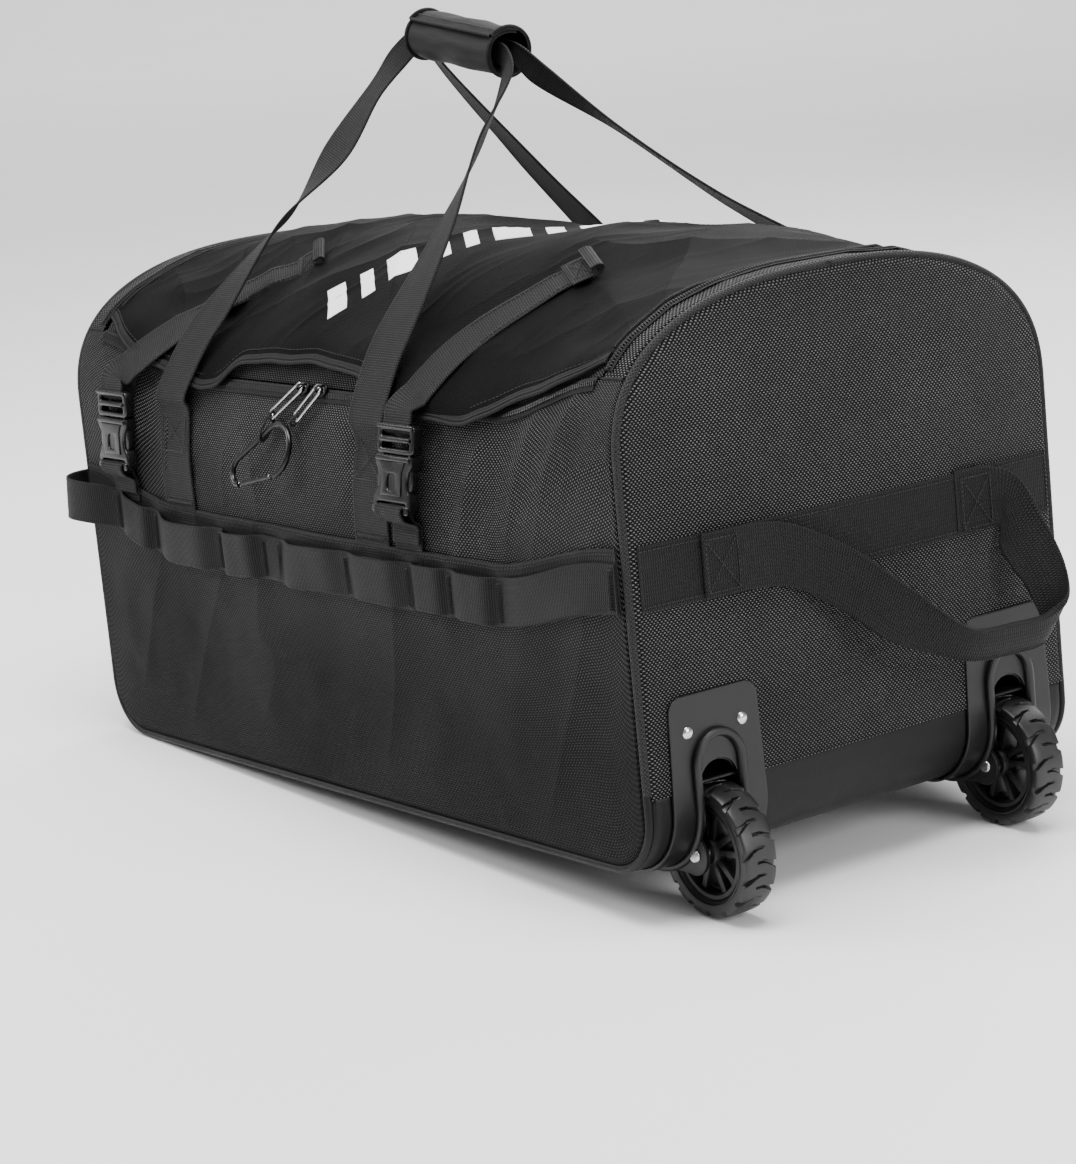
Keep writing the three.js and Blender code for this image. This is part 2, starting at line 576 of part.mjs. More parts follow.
function hub(name, side) {
  const shape = new THREE.Shape().absarc(0, 0, HUB.radius, 0, 2 * Math.PI);
  shape.holes.push(new THREE.Path().absarc(0, 0, HUB.bore, 0, 2 * Math.PI, true));
  const turn = 2 * Math.PI / HUB.spokes;
  for (let i = 0; i < HUB.spokes; i++) {
    const window = new THREE.Path();
    const [from, to] = [i * turn + 0.26, (i + 1) * turn - 0.26];
    window.absarc(0, 0, HUB.radius - HUB.rim, from, to);
    window.absarc(0, 0, HUB.boss + 3, to - 0.16, from + 0.16, true);
    shape.holes.push(window);
  }
  const body = alongY(shape, HUB.width, -HUB.width / 2, 8);
  add(`hub_${name}`, at(body, WHEEL.x, side * WHEEL.y, WHEEL.z), HUB_PLASTIC);
  const [inner, outer] = [AXLE_RADIUS + 0.15, HUB.bore - 0.35];
  const sleeve = [[inner, -12], [outer, -12], [outer, 12], [inner, 12]];
  const ring = new THREE.LatheGeometry([...sleeve, sleeve[0]].map(([r, h]) => vec2(r, h)), 20);
  add(`bushing_${name}`, at(ring, WHEEL.x, side * WHEEL.y, WHEEL.z), STEEL);
}

function tyre(name, side) {
  const [r, w, inside] = [WHEEL.radius, WHEEL.width / 2, HUB.radius + 0.5];
  const profile = [[inside, -11], [inside + 3, -w + 1], [r - 7, -w], [r - 2, -w + 2.5], [r, -w + 7],
    [r, w - 7], [r - 2, w - 2.5], [r - 7, w], [inside + 3, w - 1], [inside, 11]];
  const ring = new THREE.LatheGeometry([...profile, profile[0]].map(([a, h]) => vec2(a, h)), 36);
  add(`tyre_${name}`, at(ring, WHEEL.x, side * WHEEL.y, WHEEL.z), RUBBER);
}

// ---------------------------------------------------------------- haul handle at the wheel end
const HAUL = { near: -108, far: 150 };

function haulHandle() {
  const x = HALF_LENGTH + GAP + WEBBING_THICK + 2;
  const middle = BELT_LOW + WEBBING / 2;
  const flat = vec(0, 0, 24);
  const controls = [
    [vec(x, HAUL.near, middle), flat],
    [vec(x + 3, HAUL.near + 35, middle - 5), flat],
    [vec(430, -28, 198), vec(2, 6, 22)],
    [vec(448, 8, 165), vec(4, 9, 19)],
    [vec(462, 40, 141), vec(6, 6, 13)],
    [vec(468, 64, 131), vec(4, 2, 11)],
  ];
  const far = [
    [vec(469, 144, 128), vec(4, 1, 11)],
    [vec(466, 158, 138), vec(7, 5, 10)],
    [vec(451, 161, 165), vec(10, 13, 10)],
    [vec(431, 156, 198), vec(8, 14, 13)],
    [vec(x + 5, 152, 222), vec(2, 7, 21)],
    [vec(x, HAUL.far - 6, middle), vec(0, -4, 24)],
  ];
  add('haul_handle', ribbon(smoothStations([...controls, ...far], 30), WEBBING_THICK), WEB);
}

// ---------------------------------------------------------------- front hardware
// A frame on the front panel: local X runs along the bag, local Y up the panel and local Z out of it.
function frontFrame(z, y, lean) {
  const frame = new THREE.Group();
  frame.position.set(0, y, z);
  frame.rotation.x = Math.PI / 2 - degToRad(lean);
  bag.add(frame);
  return frame;
}

const BUCKLE = { width: 52, thick: 11, female: 46, base: 24, prong: 30, wall: 2.2, foot: 256 };

function buckle(name, x, y, lean) {
  const frame = frontFrame(BUCKLE.foot, y, lean);
  const t = BUCKLE.thick;
  const mid = t / 2;
  const shell = new THREE.ExtrudeGeometry(roundedBox(BUCKLE.width, BUCKLE.female, 5, x, BUCKLE.female / 2),
    { depth: t, bevelEnabled: false, curveSegments: 3 });
  const socket = block(BUCKLE.width - 8, BUCKLE.female, t - 2 * BUCKLE.wall, x, BUCKLE.female - 15, mid);
  const windows = [-1, 1].map((s) => block(9, 18, t + 2, x + s * (BUCKLE.width / 2 - 1), 26, mid));
  const webSlot = block(41, 4, t + 2, x, 5, mid);
  add(`buckle_female_${name}`, cut(shell, socket, ...windows, webSlot), PLASTIC, frame);

  const top = BUCKLE.female + 0.5;
  const thin = t - 2 * BUCKLE.wall - 1;
  const base = block(BUCKLE.width, BUCKLE.base, t - 2, x, top + BUCKLE.base / 2, mid);
  const away = BUCKLE.width / 2 - 9;
  const prong = (s) => block(7, BUCKLE.prong, thin, x + s * away, top - BUCKLE.prong / 2 + 1, mid);
  const guide = block(8, BUCKLE.prong - 6, thin, x, top - BUCKLE.prong / 2 + 4, mid);
  const slots = [7, 17].map((h) => block(41, 4.5, t + 2, x, top + h, mid));
  add(`buckle_male_${name}`, cut(join(base, prong(-1), prong(1), guide), ...slots), PLASTIC, frame);

  const low = BELT_LOW + WEBBING + Math.max(beltSag(x - 19), beltSag(x + 19)) + 2;
  const high = BUCKLE.foot - 0.6;
  add(`buckle_web_${name}`, block(38, WEBBING_THICK, high - low, x, -HALF_WIDTH - GAP - WEBBING_THICK / 2,
    (low + high) / 2), WEB);
}

// The zip's surface faces outwards and up by this lean; a pull hangs from the bridge over the bulge below.
const SLIDER = { z: 341, lean: 28.5, bar: 7.5 };
const PULL_LEAN = 20.4;
const PULLS = {
  left: { x: -38, angle: -143.7, length: 48.3 },
  right: { x: -10, angle: -135, length: 40.9 },
};
const sliderSeat = onSurface(-24, SLIDER.z, -1, 0);
const sliderOut = vec(0, -Math.cos(degToRad(SLIDER.lean)), Math.sin(degToRad(SLIDER.lean)));
const pullSeat = sliderSeat.clone().addScaledVector(sliderOut, SLIDER.bar);

const pullFrame = () => frontFrame(pullSeat.z, pullSeat.y, PULL_LEAN);

// A slider with a bridge, and a wire-frame pull hung from the bridge.
function zipPulls() {
  const seat = frontFrame(sliderSeat.z, sliderSeat.y, SLIDER.lean);
  const frame = pullFrame();
  for (const [name, { x, angle, length }] of Object.entries(PULLS)) {
    const body = block(13, 9, 2.8, 0, 0, 3.6);
    const bridge = cut(block(7.4, 5, 6, 0, 0, 7.8), block(4.2, 9, 4, 0, 0, SLIDER.bar));
    const slider = join(body, bridge.rotateZ(degToRad(angle)));
    add(`zip_slider_${name}`, at(slider, x, 0, 0), STEEL, seat);
    const turned = new THREE.Group();
    turned.position.set(x, 0, 0);
    turned.rotation.z = degToRad(angle);
    frame.add(turned);
    const outer = roundedBox(length, 12.4, 2.5, length / 2 - 1.4, 0);
    outer.holes.push(roundedBox(length - 5.2, 8.4, 1, length / 2 - 1.2, 0, THREE.Path));
    const pull = new THREE.ExtrudeGeometry(outer, { depth: 1.8, bevelEnabled: false, curveSegments: 2 });
    add(`zip_pull_${name}`, at(pull, 0, 0, -0.9), STEEL, turned);
    pullLoop(name, frame, x, angle, length - 2.7);
  }
}

// A cord loop through the end of a pull, standing on edge so that the carabiner's wire can pass through it.
const CORD = 2.2;
const LOOPS = { left: { turn: -110, length: 32, width: 10.4 }, right: { turn: -120, length: 15, width: 9 } };

function pullLoop(name, frame, x, angle, along) {
  const { turn, length, width } = LOOPS[name];
  const holder = new THREE.Group();
  holder.position.set(x + along * Math.cos(degToRad(angle)), along * Math.sin(degToRad(angle)), 0);
  holder.rotation.z = degToRad(turn);
  frame.add(holder);
  const middle = length / 2 - 5;
  const outer = roundedBox(length, width, width / 2 - 0.2, middle, 0);
  const hole = [length - 2 * CORD, width - 2 * CORD, width / 2 - CORD - 0.2];
  outer.holes.push(roundedBox(...hole, middle, 0, THREE.Path));
  const loop = new THREE.ExtrudeGeometry(outer, { depth: CORD, bevelEnabled: false, curveSegments: 3 })
    .translate(0, 0, -CORD / 2).rotateX(Math.PI / 2);
  add(`pull_loop_${name}`, loop, TRIM, holder);
}

const CARABINER = { x: -78.6, y: -64.1, tilt: 24, length: 90, big: 22, small: 12, wire: 2.5 };

function carabiner() {
  const turned = new THREE.Group();
  turned.position.set(CARABINER.x, CARABINER.y, 0);
  turned.rotation.z = degToRad(CARABINER.tilt);
  pullFrame().add(turned);
  const { length, big, small, wire } = CARABINER;
  const bigAt = length / 2 - big - wire;
  const smallAt = -length / 2 + small + wire;
  const arc = (cx, r, from, to, steps) => Array.from({ length: steps + 1 }, (_, i) => {
    const a = degToRad(lerp(from, to, i / steps));
    return vec(cx + r * Math.cos(a), r * Math.sin(a), 0);
  });
  const stations = [...arc(bigAt, big, -98, 98, 12), ...arc(smallAt, small, 100, 260, 9)];
  add('carabiner_body', rod(stations, wire, 8), GUNMETAL, turned);
  const [nose, hinge] = [stations[0], stations[stations.length - 1]];
  const run = nose.clone().sub(hinge);
  const gate = new THREE.CylinderGeometry(wire * 0.85, wire * 0.85, run.length() - 3, 8);
  const mesh = add('carabiner_gate', gate, GUNMETAL, turned);
  mesh.position.copy(hinge).addScaledVector(run, 0.5);
  mesh.quaternion.setFromUnitVectors(vec(0, 1, 0), run.normalize());
}

// ---------------------------------------------------------------- assembly
longPanels();
basePanel();
baseBoard();
endPanels();
topStrips();
piping();
belts();
daisyChain();
handleAnchors();
zips();
lid();
handleLoop('front', -1, FRONT_HANDLE_X, [22, -2]);
handleLoop('rear', 1, REAR_HANDLE_X, [6, -8]);
gripWrap();
for (const [name, side] of [['near', -1], ['far', 1]]) {
  wheelHousing(name, side);
  rivets(name, side);
  axle(name, side);
  hub(name, side);
  tyre(name, side);
}
haulHandle();
buckle('left', BUCKLES.left, -219.6, 4);
buckle('right', BUCKLES.right, -221, 10.5);
zipPulls();
carabiner();

// The bag tips until its wheels and the round of its foot end stand at one height.
const reach = WHEEL.x + HALF_LENGTH - CORNER_RADIUS;
const fall = CORNER_RADIUS - WHEEL.z;
const radii = CORNER_RADIUS - WHEEL.radius;
const tip = Math.atan2(fall, reach) - Math.asin(radii / Math.hypot(fall, reach));
bag.rotation.y = -tip;

const duffel = new THREE.Group();
duffel.add(bag);
duffel.updateMatrixWorld(true);
const bounds = new THREE.Box3().setFromObject(duffel, true);
const centre = bounds.getCenter(vec(0, 0, 0));
bag.position.set(-centre.x, -centre.y, -bounds.min.z);

export default duffel;
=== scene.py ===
"""Looks for the rolling duffel bag: cloth panels with folds, webbing, zips, buckles, wheels and hardware.

Lengths are in millimetres in the bag's own level frame, as in the CAD: +X is the wheel end, -Y the front
with the buckles and Z = 0 the underside. place() turns them into the tipped row frame in metres.
"""

import json
import math

import bmesh
import bpy
import numpy as np
from mathutils import Matrix, Vector


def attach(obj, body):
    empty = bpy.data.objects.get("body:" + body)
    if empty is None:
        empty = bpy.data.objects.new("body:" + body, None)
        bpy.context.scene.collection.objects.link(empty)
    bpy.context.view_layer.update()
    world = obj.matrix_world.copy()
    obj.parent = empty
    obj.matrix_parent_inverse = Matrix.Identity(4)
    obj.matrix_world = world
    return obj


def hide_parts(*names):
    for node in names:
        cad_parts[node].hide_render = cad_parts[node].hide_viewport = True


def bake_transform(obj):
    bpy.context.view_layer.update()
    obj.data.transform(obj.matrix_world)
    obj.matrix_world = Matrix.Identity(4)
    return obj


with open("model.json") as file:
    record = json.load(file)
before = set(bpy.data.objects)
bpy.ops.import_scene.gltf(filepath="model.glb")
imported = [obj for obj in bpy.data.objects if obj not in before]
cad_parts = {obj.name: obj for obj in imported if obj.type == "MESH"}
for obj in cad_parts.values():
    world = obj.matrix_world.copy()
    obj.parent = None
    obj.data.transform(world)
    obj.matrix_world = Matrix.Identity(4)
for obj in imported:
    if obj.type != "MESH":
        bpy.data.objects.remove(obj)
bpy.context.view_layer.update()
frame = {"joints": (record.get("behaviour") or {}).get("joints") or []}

# ---------------------------------------------------------------- sizes shared with the CAD
HALF_LENGTH, HALF_WIDTH, CORNER = 407.2, 216.0, 50.0
CROWN_HEIGHT, END_HEIGHT = 453.0, 436.0
BASE_WRAP = 63.0                        # height to which the base cloth wraps up
LID_END = 373.0                         # half length of the lid
ZIP_G = 3.295                           # girth station of the front zip
REAR_SEAM = 350.0                       # height of the lid's hinge
BELT_LOW, WEBBING = 204.0, 50.0
BELT_SAG = 28.0                         # how far the belt drops from the ends to the middle
PIPE_R, PIPE_IN = 3.3, 3.6              # piping radius and how far in it is sewn
WHEEL_X, WHEEL_Y, WHEEL_Z, WHEEL_R = 402.0, 149.0, 11.0, 51.0
ROOT = 318.0                            # height of the carrying handles' roots
HEART = np.array([0, 0, 230.0])         # the middle of the bag, from which "outwards" is told
DOME_EASE = (230, 395)
SHOULDER = {"front": 254.0, "rear": 300.0, "end": 311.0}
ROUNDING = {"front": 2.0, "rear": 2.4, "end": 2.45}
FRONT_X, REAR_X = (-240.0, 73.0), (-131.0, 195.0)
BUCKLE_X = {"left": -325.0, "right": 126.0}

JOINTS = {j["name"]: j for j in frame["joints"]}
_run = np.array(JOINTS["zip_slide_right"]["axis"], float)
TURN = np.array([[_run[0], 0, -_run[2]], [0, 1, 0], [_run[2], 0, _run[0]]])
SHIFT = np.array(JOINTS["wheel_near_spin"]["pos_m"]) - TURN @ np.array([WHEEL_X, -WHEEL_Y, WHEEL_Z]) / 1000


def place(points):
    """Bag frame in millimetres to row frame in metres."""
    return np.asarray(points, float) / 1000 @ TURN.T + SHIFT


def vec(*values):
    return np.array(values, float)


def unit(v):
    """The same direction with length 1, for one vector or a list of them."""
    return v / np.linalg.norm(v, axis=-1, keepdims=True)


# ---------------------------------------------------------------- smooth noise
def noise(u, v, seed):
    """Smooth noise from -1 to 1 on a grid of unit cells, the same for the same seed."""
    table = np.random.RandomState(seed).rand(97, 89) * 2 - 1
    u, v = np.broadcast_arrays(np.asarray(u, float), np.asarray(v, float))
    iu, iv = np.floor(u).astype(int), np.floor(v).astype(int)
    fu, fv = u - iu, v - iv
    fu, fv = fu * fu * (3 - 2 * fu), fv * fv * (3 - 2 * fv)

    def at(a, b):
        return table[(iu + a) % 97, (iv + b) % 89]

    low = at(0, 0) * (1 - fu) + at(1, 0) * fu
    high = at(0, 1) * (1 - fu) + at(1, 1) * fu
    return low * (1 - fv) + high * fv


def folds(u, v, angle, length, width, seed):
    """Long soft creases that run at an angle, from -1 in a valley to about 0.4 on a ridge."""
    a = math.radians(angle)
    along = (u * math.cos(a) + v * math.sin(a)) / length
    across = (v * math.cos(a) - u * math.sin(a)) / width
    bent = across + 0.6 * noise(along * 0.9, across * 0.5, seed + 5)
    return 0.4 - 1.4 * np.abs(noise(along, bent, seed)) ** 0.8


def smooth(a, b, x):
    """A soft step from 0 at a to 1 at b."""
    t = np.clip((np.asarray(x, float) - a) / (b - a), 0, 1)
    return t * t * (3 - 2 * t)


def mix(a, b, t):
    return a + (b - a) * t


def hill(x, centre, width):
    """A bell curve of height 1."""
    return np.exp(-(((x - centre) / width) ** 2))


# ---------------------------------------------------------------- the bag's surface
def cross_section(x, front):
    """Shoulder height, rounding power and crown height of the cross-section at x."""
    end = smooth(*DOME_EASE, np.abs(x))
    pick = [np.where(front, k["front"], k["rear"]) for k in (SHOULDER, ROUNDING)]
    shoulder, rounding = mix(pick[0], SHOULDER["end"], end), mix(pick[1], ROUNDING["end"], end)
    return shoulder, rounding, mix(CROWN_HEIGHT, END_HEIGHT, end)


def girth_point(x, g, out=0.0):
    """The point at girth station g: 2 is the front foot, 3 and 5 the shoulders, 4 the crown, 6 the rear foot."""
    x, g, out = np.broadcast_arrays(*(np.asarray(k, float) for k in (x, g, out)))
    front = g < 4
    shoulder, power, height = cross_section(x, front)
    turn = np.abs(g - 4)
    a = np.clip(turn, 0, 1) * np.pi / 2
    reach = HALF_WIDTH + out
    y = np.where(turn >= 1, reach, reach * np.sin(a) ** (2 / power))
    z = np.where(turn >= 1, (2 - turn) * shoulder,
                 shoulder + (height - shoulder + out) * np.maximum(np.cos(a), 1e-9) ** (2 / power))
    return np.stack([x, np.where(front, -y, y), z], -1)


def girth_at(x, z, side):
    """Girth station at height z on the front (side -1) or the rear (side 1)."""
    x, z = np.broadcast_arrays(np.asarray(x, float), np.asarray(z, float))
    shoulder, power, height = cross_section(x, side < 0)
    rise = np.clip((z - shoulder) / (height - shoulder), 0, 1)
    dome = np.arccos(rise ** (power / 2)) / (np.pi / 2)
    return np.where(z <= shoulder, 4 + side * (2 - z / shoulder), 4 + side * dome)


def relief(x, g):
    """How far cloth stands out from the CAD's even surface: sag, folds and pulls."""
    x, g = np.broadcast_arrays(np.asarray(x, float), np.asarray(g, float))
    v = (g - 4) * 235
    lid = smooth(3.31, 3.5, g) * (1 - smooth(4.72, 4.95, g))
    inside = 1 - smooth(330, 400, np.abs(x))
    sag = -11 * hill(x, -215, 110) * hill(g, 3.72, 0.28) - 7 * hill(x, 270, 80) * hill(g, 3.75, 0.35)
    sag = sag - 5 * hill(x, 20, 120) * hill(g, 4.25, 0.4)
    crease = 5.5 * folds(x, v, 28, 210, 52, 11) + 3.2 * folds(x, v, -35, 170, 44, 23)
    crumple = 1.1 * folds(x, v, 60, 70, 20, 31)
    on_lid = lid * (sag * inside + (crease + crumple) * (0.35 + 0.65 * inside))
    panel = (1 - smooth(3.2, 3.3, g)) + smooth(4.9, 5.0, g)
    away = 1 - smooth(345, 400, np.abs(x))
    low = smooth(2.02, 2.25, np.where(g < 4, g, 8 - g))
    above = smooth(2.9, 3.05, np.where(g < 4, g, 8 - g))
    wave = 3.2 * noise(x / 120, v / 95, 41) + (1.6 + 2.2 * above) * folds(x, v, 70, 150, 52, 53)
    wave = wave + 4.2 * smooth(-250, -330, x) * above * folds(x, v, 84, 150, 34, 83)
    wave = wave + 0.6 * noise(x / 24, v / 30, 61) + above * 1.4 * folds(x, v, 40, 70, 24, 67)
    return on_lid + panel * away * low * (wave - 0.6)


def belt_sag(x):
    """How far the belt hangs below its height at the ends."""
    return -BELT_SAG * (1 - smooth(230, 400, np.abs(x)))


def end_bulge(y, z):
    """The stuffed end panels stand out a little between their piping."""
    r = np.maximum(np.abs(y) / 205, np.abs(z - 235) / 190)
    stuffed = 6.5 * (1 - smooth(0.35, 1.0, r)) * smooth(110, 190, z)
    return stuffed + 0.8 * noise(y / 70, z / 60, 71) * (1 - smooth(0.7, 1, r))


# ---------------------------------------------------------------- materials
class Net:
    """A small way to write shader nodes: every method gives back an output socket."""

    def __init__(self, name):
        self.material = bpy.data.materials.new(name)
        self.material.use_nodes = True
        self.nodes = self.material.node_tree.nodes
        self.links = self.material.node_tree.links
        self.bsdf = self.nodes["Principled BSDF"]
        uv = self.nodes.new("ShaderNodeUVMap")
        uv.uv_map = "UVMap"
        split = self.nodes.new("ShaderNodeSeparateXYZ")
        self.links.new(uv.outputs[0], split.inputs[0])
        self.uv, self.u, self.v = uv.outputs[0], split.outputs[0], split.outputs[1]
        self.object = self.nodes.new("ShaderNodeTexCoord").outputs["Object"]

    def feed(self, socket, value):
        if isinstance(value, bpy.types.NodeSocket):
            self.links.new(value, socket)
        elif value is not None:
            socket.default_value = value

    def math(self, operation, a, b=None, c=None):
        node = self.nodes.new("ShaderNodeMath")
        node.operation = operation
        for socket, value in zip(node.inputs, (a, b, c)):
            self.feed(socket, value)
        return node.outputs[0]

    def mul(self, a, b):
        return self.math("MULTIPLY", a, b)

    def wave(self, value, length):
        """A sine of the given wavelength, from 0 to 1."""
        return self.math("MULTIPLY_ADD", self.math("SINE", self.mul(value, 2 * math.pi / length)), 0.5, 0.5)

    def noise(self, scale, detail=3, rough=0.55):
        node = self.nodes.new("ShaderNodeTexNoise")
        node.inputs["Scale"].default_value = scale
        node.inputs["Detail"].default_value = detail
        node.inputs["Roughness"].default_value = rough
        self.links.new(self.object, node.inputs["Vector"])
        return node.outputs[0]

    def ramp(self, value, low, high, out_low=0.0, out_high=1.0):
        node = self.nodes.new("ShaderNodeMapRange")
        self.feed(node.inputs[0], value)
        for socket, number in zip(list(node.inputs)[1:5], (low, high, out_low, out_high)):
            socket.default_value = number
        return node.outputs[0]

    def blend(self, factor, a, b):
        node = self.nodes.new("ShaderNodeMix")
        node.data_type = "RGBA"
        self.feed(node.inputs[0], factor)
        self.feed(node.inputs[6], (*a, 1) if isinstance(a, tuple) else a)
        self.feed(node.inputs[7], (*b, 1) if isinstance(b, tuple) else b)
        return node.outputs[2]

    def bump(self, height, distance, strength=1.0, normal=None):
        node = self.nodes.new("ShaderNodeBump")
        node.inputs["Strength"].default_value = strength
        node.inputs["Distance"].default_value = distance
        self.feed(node.inputs["Height"], height)
        if normal is not None:
            self.links.new(normal, node.inputs["Normal"])
        return node.outputs[0]

    def done(self, colour, rough, normal, metal=0.0, specular=0.5, sheen=0.0):
        put = self.bsdf.inputs
        self.feed(put["Base Color"], (*colour, 1) if isinstance(colour, tuple) else colour)
        self.feed(put["Roughness"], rough)
        put["Metallic"].default_value = metal
        put["Specular IOR Level"].default_value = specular
        put["Sheen Weight"].default_value = sheen
        put["Sheen Roughness"].default_value = 0.45
        self.links.new(normal, put["Normal"])
        return self.material


def grey(value, warm=0.0):
    return (value * (1 + warm), value, value * (1 - warm))


def weave_height(net, pitch):
    """Plain weave of round yarns, from the UV map in metres."""
    a, b = net.mul(net.u, 1 / pitch), net.mul(net.v, 1 / pitch)

    def yarn(across, along, offset):
        row = net.math("FLOOR", across)
        bulge = net.math("SINE", net.mul(net.math("FRACT", across), math.pi))
        phase = net.mul(net.math("ADD", along, net.math("ADD", row, offset)), math.pi)
        return net.mul(bulge, net.math("MULTIPLY_ADD", net.math("COSINE", phase), 0.5, 0.5))

    warp, weft = yarn(b, a, 0.5), yarn(a, b, 1.5)
    return net.math("MAXIMUM", warp, weft), net.math("SUBTRACT", warp, weft)


def woven(name, pitch, light, rough, depth, specular, dark=0.0001, slub=0.5, warp_weft_highlight=0.98, low_tone=1.0):
    """Plain weave with yarn crowns painted bright as highlights and gaps painted dark as shade. low_tone dims these
    painted highlights towards the bottom, below the belt.
    """
    net = Net(name)
    height, which = weave_height(net, pitch)
    cloud = net.noise(9, 3)
    fibre = net.noise(900, 2)
    # tone paints highlights on the yarn crowns and shade in the gaps between yarns
    tone = net.mul(net.math("POWER", height, 2.2), net.ramp(fibre, 0.3, 0.7, 1 - slub, 1.0))
    tone = net.mul(tone, net.ramp(cloud, 0.3, 0.7, 0.75, 1.1))
    # painted crown highlight made weaker on the weft than on the warp
    tone = net.mul(tone, net.ramp(which, -0.3, 0.3, 1 - warp_weft_highlight, 1.0))
    # darker towards the bottom: the painted crown highlights are dimmed below the belt
    if low_tone < 1:
        split = net.nodes.new("ShaderNodeSeparateXYZ")
        net.links.new(net.object, split.inputs[0])
        tone = net.mul(tone, net.ramp(split.outputs[2], 0.12, 0.3, low_tone, 1.0))
    colour = net.blend(tone, grey(dark), grey(light))
    dust = net.ramp(net.noise(42, 6), 0.62, 0.85, 0.0, 0.12)
    colour = net.blend(dust, colour, grey(light * 0.35, 0.03))
    worn = net.math("ADD", height, net.ramp(cloud, 0.3, 0.7, -0.2, 0.2))
    shine = net.ramp(worn, 0, 1, rough + 0.15, rough - 0.08)
    soft = net.bump(net.noise(55, 4), 0.0012, 0.35)
    return net.done(colour, shine, net.bump(height, depth, 0.9, soft), specular=specular)


def webbing(name, dark=0.0010, light=0.012, pitch=0.0021):
    """Ribbed strap: fine ribs across the width, broken by columns of warp. v = 0 on the middle line."""
    net = Net(name)
    column = net.math("PINGPONG", net.v, 0.0016)
    slant = net.math("MULTIPLY_ADD", column, 0.5, net.u)
    height = net.mul(net.wave(slant, pitch), net.ramp(column, 0.0, 0.0005, 0.6, 1.0))
    fibre = net.ramp(net.noise(700, 2), 0.3, 0.7, 0.6, 1.0)
    # colour from the rib height paints highlights on the rib crowns and shade in the grooves and along the column edges
    colour = net.blend(net.mul(height, fibre), grey(dark), grey(light))
    worn = net.ramp(net.noise(60, 5), 0.6, 0.8, 0.0, 0.3)
    colour = net.blend(worn, colour, grey(light * 1.7))
    shine = net.ramp(height, 0, 1, 0.8, 0.5)
    return net.done(colour, shine, net.bump(height, 0.0006, 0.9), sheen=0.02, specular=0.2)


def thread_material():
    net = Net("thread")
    twist = net.math("SINE", net.mul(net.u, 5200))
    colour = net.blend(net.noise(400), grey(0.006), grey(0.028))
    return net.done(colour, 0.6, net.bump(twist, 0.0002, 0.7), sheen=0.04, specular=0.3)


def coated(name, dark, light, rough, specular=0.5, sheen=0.1):
    """Smooth coated cloth with scuffs and a fine grain."""
    net = Net(name)
    fine = net.noise(1100, 2)
    broad = net.noise(14, 5)
    colour = net.blend(net.ramp(broad, 0.3, 0.72), grey(dark), grey(light))
    scuff = net.ramp(net.noise(130, 7, rough=0.75), 0.66, 0.8, 0.0, 0.35)
    colour = net.blend(scuff, colour, grey(light * 2.2, 0.04))
    worn = net.math("ADD", broad, net.mul(scuff, 0.6))
    shine = net.ramp(worn, 0.3, 0.8, rough - 0.06, rough + 0.14)
    grain = weave_height(net, 0.0011)[0]
    first = net.bump(net.noise(45, 4), 0.0012, 0.3)
    second = net.bump(grain, 0.00022, 0.5, first)
    return net.done(colour, shine, net.bump(fine, 0.0001, 0.5, second), specular=specular, sheen=sheen)


def braid(name):
    """Braided cord, from two crossing waves on the UV map."""
    net, pitch = Net(name), 0.0034
    plus = net.math("SINE", net.mul(net.math("ADD", net.u, net.v), 2 * math.pi / pitch))
    minus = net.math("SINE", net.mul(net.math("SUBTRACT", net.u, net.v), 2 * math.pi / pitch))
    height = net.math("MULTIPLY_ADD", net.math("MAXIMUM", plus, minus), 0.5, 0.5)
    # tone paints highlights on the strand crowns and shade in the hollows between strands
    tone = net.mul(height, net.ramp(net.noise(500), 0.3, 0.7, 0.5, 1))
    colour, shine = net.blend(tone, grey(0.0015), grey(0.016)), net.ramp(height, 0, 1, 0.85, 0.55)
    return net.done(colour, shine, net.bump(height, 0.0009, 1.0), sheen=0.03, specular=0.3)


def plastic(name, dark, light, rough, grain=0.00012, specular=0.5):
    """Moulded plastic with a fine grain and light scratches."""
    net = Net(name)
    fine = net.noise(1500, 2)
    cloud = net.noise(38, 4)
    colour = net.blend(cloud, grey(dark), grey(light))
    scratch = net.ramp(net.noise(300, 8, rough=0.8), 0.68, 0.78, 0.0, 0.5)
    colour = net.blend(scratch, colour, grey(light * 2.5))
    shine = net.ramp(cloud, 0.3, 0.7, rough - 0.05, rough + 0.1)
    return net.done(colour, shine, net.bump(fine, grain, 0.8), specular=specular)


def metal(name, tone, rough):
    """Polished metal with smears."""
    net = Net(name)
    smear = net.noise(120, 6, rough=0.7)
    colour = net.blend(net.ramp(smear, 0.45, 0.75), grey(tone), grey(tone * 0.6))
    shine = net.ramp(smear, 0.3, 0.8, rough, rough + 0.2)
    return net.done(colour, shine, net.bump(smear, 0.00015, 0.4), metal=1.0)


def rubber_material():
    net = Net("rubber")
    dust = net.ramp(net.noise(70, 7, rough=0.7), 0.52, 0.75, 0.0, 0.5)
    colour = net.blend(dust, grey(0.004), grey(0.018, 0.05))
    return net.done(colour, net.ramp(dust, 0, 0.5, 0.42, 0.72), net.bump(net.noise(900, 3), 0.0002, 0.7))


def print_material():
    net = Net("print")
    wear = net.ramp(net.noise(260, 8, rough=0.8), 0.6, 0.72, 0.0, 0.55)
    colour = net.blend(wear, grey(0.86), grey(0.35))
    return net.done(colour, 0.5, net.bump(weave_height(net, 0.0011)[0], 0.0002, 0.6))


